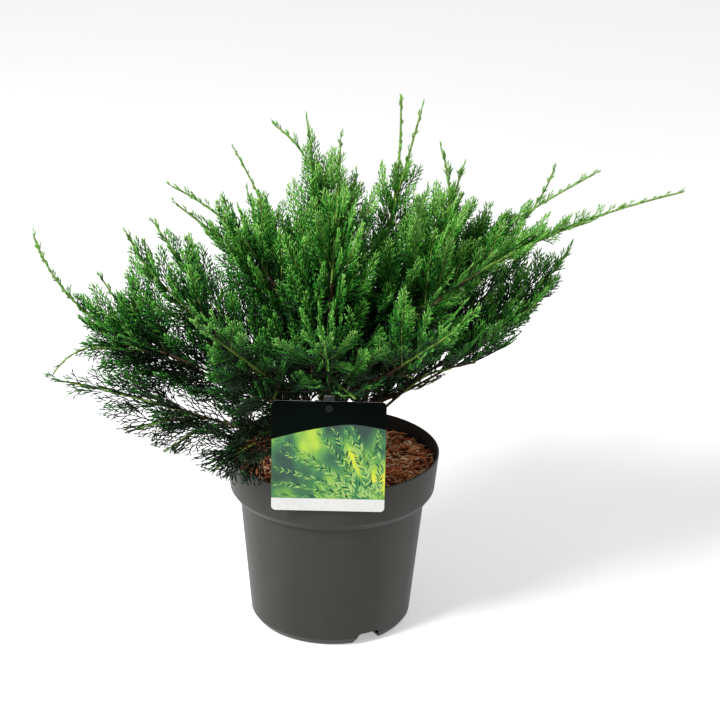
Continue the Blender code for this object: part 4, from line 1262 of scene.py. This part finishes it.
def has_room(points):
    """True where a point is inside the solids' box and clear of the pot, the mulch and the label."""
    low = np.array(CAD_LOW) - BOX_CLEAR
    high = np.array(CAD_HIGH) + BOX_CLEAR
    boxed = np.all((points > low) & (points < high), axis=1)
    x, y, z = points.T
    away = np.hypot(x, y)
    at_wall = (away > POT_INSIDE) & (away < RIM_RADIUS + POT_CLEAR) & (z < POT_HEIGHT + 0.002)
    over_mulch = (away < RIM_FOOT_RADIUS) & (z < MULCH_TOP + FOLIAGE_OVER_MULCH)
    aside = np.abs(x - LABEL_MIDDLE_X) - LABEL_WIDTH / 2
    over = z - (LABEL_LOW + LABEL_HEIGHT)
    deep = (y > LABEL_FRONT - 1.5 * CARD_CLEAR) & (y < STAKE_FRONT + 2 * CARD_CLEAR)
    at_card = (aside < CARD_CLEAR) & deep & (over < CARD_CLEAR)
    before = (y < LABEL_FRONT) & (aside < 2 * CARD_CLEAR)
    hides = before & (over < 1.5 * CARD_CLEAR + SIGHT_RISE * (LABEL_FRONT - y))
    return boxed & ~(at_wall | over_mulch | at_card | hides)


def over_bare_foot(points, hem):
    """True over the crown's bare underside, two planes that rise outwards, or in a hem below them."""
    x, y, z = points.T
    right = BARE_FOOT_RIGHT + BARE_RISE_RIGHT * x
    left = BARE_FOOT_LEFT - BARE_RISE_LEFT * x
    return z > np.where(x < 0.0, left, right) + BARE_RISE_FRONT * np.maximum(-y, 0.0) - hem


def exposure(points):
    """How far out in the light a place of the crown lies, from 0 inside to about 1."""
    x, y, z = points.T
    reach = np.linalg.norm((points - CROWN_MIDDLE) / CROWN_REACH, axis=1)
    height = (z - 0.25) / 0.38
    low_left = np.clip((-x - 0.02) / 0.25, 0, 1) * np.clip((0.46 - z) / 0.12, 0, 1)
    low_front = np.clip((-y - 0.04) / 0.15, 0, 1) * np.clip((0.45 - z) / 0.12, 0, 1)
    light = LIGHT_BY_REACH * reach + LIGHT_BY_HEIGHT * height
    return light - SHADE_LOW_LEFT * low_left - SHADE_LOW_FRONT * low_front


def tone_of(points, outward_share, rng):
    """Painted light and shade as tones, 0 shade to 4 fresh and lit, by place in the crown and share along the
    lateral.
    """
    # The share along the lateral paints shade towards its foot and light towards its tip, partly also the
    # real paler green of new tips.
    light = exposure(points) + LIGHT_BY_OUTWARD_SHARE * (outward_share - 0.5)
    return np.digitize(light + rng.normal(0.0, TONE_SPREAD, len(points)), TONE_EDGES)


def array_mesh(name, vertices, faces):
    """A mesh from an array of places and an array of faces, all with the same number of corners."""
    mesh = bpy.data.meshes.new(name)
    corners = faces.shape[1]
    mesh.vertices.add(len(vertices))
    mesh.vertices.foreach_set("co", np.ascontiguousarray(vertices, np.float32).ravel())
    mesh.loops.add(faces.size)
    mesh.loops.foreach_set("vertex_index", np.ascontiguousarray(faces, np.int32).ravel())
    mesh.polygons.add(len(faces))
    mesh.polygons.foreach_set("loop_start", np.arange(0, faces.size, corners, dtype=np.int32))
    mesh.update(calc_edges=True)
    return mesh


def repeated(faces, count, vertices_each):
    """The faces of one small shape, repeated for every copy of it."""
    faces = np.array(faces)
    return (faces[None] + np.arange(count)[:, None, None] * vertices_each).reshape(-1, faces.shape[1])


def three_round(axis, roll):
    """Three unit vectors square to each axis, a third of a turn apart."""
    helper = np.where(np.abs(axis[:, 2:3]) < 0.9, [[0.0, 0.0, 1.0]], [[1.0, 0.0, 0.0]])
    side = unit(np.cross(axis, helper))
    other = np.cross(axis, side)
    return [
        side * np.cos(roll + k * math.tau / 3)[:, None] + other * np.sin(roll + k * math.tau / 3)[:, None]
        for k in range(3)
    ]


CORD_FACES = (
    (0, 2, 1), (0, 1, 4), (0, 4, 3), (1, 2, 5), (1, 5, 4), (2, 0, 3), (2, 3, 5),
    (6, 3, 4), (6, 4, 5), (6, 5, 3),
)
TWIG_FACES = (
    (0, 2, 1), (3, 4, 5), (0, 1, 4), (0, 4, 3), (1, 2, 5), (1, 5, 4), (2, 0, 3), (2, 3, 5)
)


def cord_vertices(cords, radius, rng):
    """Every cord of scale leaves as a three-sided rod, bent at its waist and pointed at its tip."""
    count = len(cords.length)
    index = np.arange(count)
    waist, _ = points_on(cords, index, np.full(count, CORD_WAIST))
    tip = tips_of(cords)
    wide = (radius * rng.uniform(0.85, 1.15, count))[:, None]
    arms = three_round(unit(tip - cords.root), rng.uniform(0, math.tau, count))
    ring = [cords.root + arm * wide * 0.8 for arm in arms] + [waist + arm * wide for arm in arms]
    return np.stack([*ring, tip], axis=1).reshape(-1, 3)


def twig_arrays(laterals):
    """The stem of every lateral as a chain of three-sided tapering lengths."""
    vertices = []
    index = np.arange(len(laterals.length))
    gauge = np.clip(laterals.length * TWIG_GAUGE, *TWIG_RADII)[:, None]
    for step in range(TWIG_STEPS):
        low, _ = points_on(laterals, index, np.full(len(index), step / TWIG_STEPS))
        high, _ = points_on(laterals, index, np.full(len(index), (step + 1) / TWIG_STEPS))
        arms = three_round(unit(high - low), np.zeros(len(index)))
        thick = gauge * (1.0 - 0.7 * step / TWIG_STEPS)
        slim = gauge * (1.0 - 0.7 * (step + 1) / TWIG_STEPS)
        ring = [low + arm * thick for arm in arms] + [high + arm * slim for arm in arms]
        vertices.append(np.stack(ring, axis=1))
    vertices = np.concatenate(vertices).reshape(-1, 3)
    return vertices, repeated(TWIG_FACES, len(index) * TWIG_STEPS, 6)


def cut_back(shoots, room):
    """Shoots shortened until their tips have room, without those that never do."""
    for _ in range(CUT_BACKS):
        shorter = np.where(room(tips_of(shoots)), shoots.length, shoots.length * CUT_BACK)
        shoots = shoots._replace(length=shorter)
    return only(shoots, room(tips_of(shoots)))


def grow_laterals(name, rng, fullness):
    """The laterals of one plume's leaders that have room at their feet."""
    rows = [row for leader in leaders_of(name) for row in laterals_on(leader, rng, fullness)]
    table = np.array(rows)
    root, first, lifted, length, flat = np.split(table, (3, 6, 9, 10), axis=1)
    laterals = Shoots(root, first, lifted, length[:, 0], flat, np.zeros(len(table), int))
    return only(laterals, has_room(laterals.root))


def grow_plume(name, settings):
    """One plume, by its own habit and its own seed."""
    habit = HABITS.get(name, UPRIGHT)
    rng = np.random.default_rng(100 + list(BOUGHS).index(name))

    def room(points):
        return has_room(points) & over_bare_foot(points, habit.hem)

    laterals = cut_back(grow_laterals(name, rng, settings.fullness), room)
    sprays, share = side_shoots(
        laterals, rng, habit.spray_gap, 0.06, math.radians(habit.spray_angle),
        lambda whole, at: np.minimum(habit.spray_reach * whole, LONGEST_SPRAY) * (1 - at) ** 0.85
        + np.minimum(habit.spray_least, 0.5 * whole),
        0.30, habit.lift, True,
    )
    # Painted light and shade: each spray's tone by its place in the crown and its share along the lateral.
    sprays = sprays._replace(tone=tone_of(tips_of(sprays), share, rng))
    sprays = only(sprays, has_room(sprays.root) & room(tips_of(sprays)))
    long_ones = only(sprays, sprays.length > habit.cord_from)
    cords, _ = side_shoots(
        long_ones, rng, habit.cord_gap, 0.14, math.radians(habit.cord_angle),
        lambda whole, at: np.minimum(0.60 * whole * (1 - at) + LEAST_CORD, habit.cord_reach),
        0.35, 0.5 * habit.lift, False,
    )
    cords = only(cords, has_room(cords.root) & room(tips_of(cords)))
    own = rng.choice((-1, 0, 1), len(cords.length), p=(0.26, 0.52, 0.22))
    cords = cords._replace(tone=np.clip(cords.tone + own, 0, len(TONES) - 1))
    cords = all_of([sprays, cords])
    return Plume(laterals, cords, np.full(len(cords.length), habit.thickness))


def all_of(groups):
    """Several groups of shoots as one."""
    return Shoots(*[np.concatenate(columns) for columns in zip(*groups)])


def make_foliage(settings):
    """The cords of each region as one piece, each with the green of its tone, which paints light and shade.
    """
    materials = [
        principled(f"needles_{tone}", getattr(settings, tone), 0.48, 0.30)[0] for tone in TONES
    ]
    rng = np.random.default_rng(5)
    twigs = []
    for region, plumes in REGIONS.items():
        grown = [grow_plume(name, settings) for name in plumes]
        cords = all_of([plume.cords for plume in grown])
        thickness = np.concatenate([plume.thickness for plume in grown])
        vertices = cord_vertices(cords, settings.cord_radius * thickness, rng)
        mesh = array_mesh(f"foliage_{region}", vertices, repeated(CORD_FACES, len(cords.length), 7))
        tones = np.repeat(cords.tone, len(CORD_FACES)).astype(np.int32)
        mesh.polygons.foreach_set("material_index", tones)
        nodes = [f"plume_{name}" for name in plumes]
        add_piece(f"foliage_{region}", mesh, materials, nodes)
        twigs.extend(plume.laterals for plume in grown)
    make_twigs(all_of(twigs), rng)


def make_twigs(laterals, rng):
    """The laterals' own stems, in three skins of painted light and shade, paler further out in the light."""
    skins = (
        ("twig_dark", (0.022, 0.030, 0.010)),
        ("twig_green", (0.060, 0.125, 0.022)),
        ("twig_pale", (0.200, 0.300, 0.060)),
    )
    materials = [principled(name, skin, 0.6, 0.2)[0] for name, skin in skins]
    mesh = array_mesh("twigs", *twig_arrays(laterals))
    # Painted shade and light: each twig's skin by its place in the crown.
    tones = np.clip(tone_of(tips_of(laterals), 0.4, rng) - 1, 0, len(skins) - 1)
    tones = np.tile(np.repeat(tones, len(TWIG_FACES)), TWIG_STEPS).astype(np.int32)
    mesh.polygons.foreach_set("material_index", tones)
    add_piece("green_twigs", mesh, materials)


# Stage


def area_light(name, power, place_at, target, wide):
    data = bpy.data.lights.new(name, "AREA")
    data.energy = power
    data.shape = "DISK"
    data.size = wide
    light = bpy.data.objects.new(name, data)
    bpy.context.scene.collection.objects.link(light)
    light.location = place_at
    light.rotation_euler = (Vector(target) - Vector(place_at)).to_track_quat("-Z", "Y").to_euler()


def make_floor(settings):
    bm = bmesh.new()
    bmesh.ops.create_circle(bm, cap_ends=True, segments=64, radius=FLOOR_RADIUS)
    material, shader = principled("floor", settings.floor, 0.9, 0.1)
    shader.inputs["Emission Color"].default_value = (1.0, 1.0, 1.0, 1.0)
    shader.inputs["Emission Strength"].default_value = settings.glow
    grain = pattern(material, place(material, (1, 1, 1)), 3.0)
    low, high = shades(settings.floor, 0.99, 1.01)
    tint(material, shader, grain, ((0.3, low), (0.7, high)))
    mesh = mesh_from("floor", bm)
    mesh.materials.append(material)
    floor = bpy.data.objects.new("floor", mesh)
    bpy.context.scene.collection.objects.link(floor)
    floor.visible_diffuse = False


def make_lights(settings):
    """An even sky, a soft key light from the upper left and a weak fill from the right."""
    world = bpy.data.worlds.new("studio")
    world.use_nodes = True
    background = world.node_tree.nodes["Background"]
    background.inputs["Color"].default_value = (1.0, 1.0, 1.0, 1.0)
    background.inputs["Strength"].default_value = settings.sky
    bpy.context.scene.world = world
    area_light("key", settings.key, KEY_PLACE, KEY_TARGET, KEY_WIDTH)
    area_light("fill", settings.fill, FILL_PLACE, FILL_TARGET, FILL_WIDTH)


def make_camera(settings):
    data = bpy.data.cameras.new("camera")
    data.lens = settings.lens
    data.sensor_width = 36.0
    data.clip_end = 50.0
    camera = bpy.data.objects.new("camera", data)
    bpy.context.scene.collection.objects.link(camera)
    back = CAMERA_RIGHT.cross(CAMERA_UP).normalized()
    turn = Matrix((CAMERA_RIGHT, CAMERA_UP, back)).transposed().to_4x4()
    camera.matrix_world = Matrix.Translation(CAMERA_PLACE) @ turn
    bpy.context.scene.camera = camera
    bpy.context.scene.view_settings.view_transform = "Standard"


# Add-on


class JUNIPER_OT_pot(bpy.types.Operator):
    """Make the nursery pot"""

    bl_idname = "juniper.pot"
    bl_label = "Nursery Pot"

    def execute(self, context):
        make_pot(context.scene.juniper_pot)
        return {"FINISHED"}


class JUNIPER_OT_mulch(bpy.types.Operator):
    """Make the bark mulch"""

    bl_idname = "juniper.mulch"
    bl_label = "Bark Mulch"

    def execute(self, context):
        make_bed(context.scene.juniper_mulch)
        make_shreds(context.scene.juniper_mulch)
        return {"FINISHED"}


class JUNIPER_OT_label(bpy.types.Operator):
    """Make the picture label and its stake"""

    bl_idname = "juniper.label"
    bl_label = "Label"

    def execute(self, context):
        make_card(context.scene.juniper_label)
        make_leaflets()
        make_stake()
        make_peg(context.scene.juniper_label)
        return {"FINISHED"}


class JUNIPER_OT_wood(bpy.types.Operator):
    """Make the trunk, the boughs and the young stems"""

    bl_idname = "juniper.wood"
    bl_label = "Wood"

    def execute(self, context):
        make_wood(context.scene.juniper_wood)
        return {"FINISHED"}


class JUNIPER_OT_foliage(bpy.types.Operator):
    """Grow the twigs and the cords of scale leaves"""

    bl_idname = "juniper.foliage"
    bl_label = "Foliage"

    def execute(self, context):
        make_foliage(context.scene.juniper_foliage)
        return {"FINISHED"}


class JUNIPER_OT_stage(bpy.types.Operator):
    """Set up the floor, the lights and the camera"""

    bl_idname = "juniper.stage"
    bl_label = "Stage"

    def execute(self, context):
        make_floor(context.scene.juniper_stage)
        make_lights(context.scene.juniper_stage)
        make_camera(context.scene.juniper_stage)
        return {"FINISHED"}


OPERATORS = (
    JUNIPER_OT_stage,
    JUNIPER_OT_pot,
    JUNIPER_OT_mulch,
    JUNIPER_OT_label,
    JUNIPER_OT_wood,
    JUNIPER_OT_foliage,
)
SETTINGS = {
    "juniper_pot": PotSettings,
    "juniper_mulch": MulchSettings,
    "juniper_label": LabelSettings,
    "juniper_wood": WoodSettings,
    "juniper_foliage": FoliageSettings,
    "juniper_stage": StageSettings,
}


class JUNIPER_PT_panel(bpy.types.Panel):
    """Lists the plant's operators with their settings"""

    bl_idname = "JUNIPER_PT_panel"
    bl_label = "Potted Juniper"
    bl_space_type = "VIEW_3D"
    bl_region_type = "UI"
    bl_category = "Juniper"

    def draw(self, context):
        for operator in OPERATORS:
            box = self.layout.box()
            box.operator(operator.bl_idname)
            group = getattr(context.scene, operator.bl_idname.replace(".", "_"))
            for name in group.bl_rna.properties.keys():
                if name not in ("rna_type", "name"):
                    box.prop(group, name)


def register():
    for kind in (*SETTINGS.values(), *OPERATORS, JUNIPER_PT_panel):
        bpy.utils.register_class(kind)
    for name, kind in SETTINGS.items():
        setattr(bpy.types.Scene, name, bpy.props.PointerProperty(type=kind))


def unregister():
    for name in SETTINGS:
        delattr(bpy.types.Scene, name)
    for kind in reversed((*SETTINGS.values(), *OPERATORS, JUNIPER_PT_panel)):
        bpy.utils.unregister_class(kind)


def main():
    register()
    for operator in OPERATORS:
        group, name = operator.bl_idname.split(".")
        getattr(getattr(bpy.ops, group), name)()


if __name__ == "__main__":
    main()
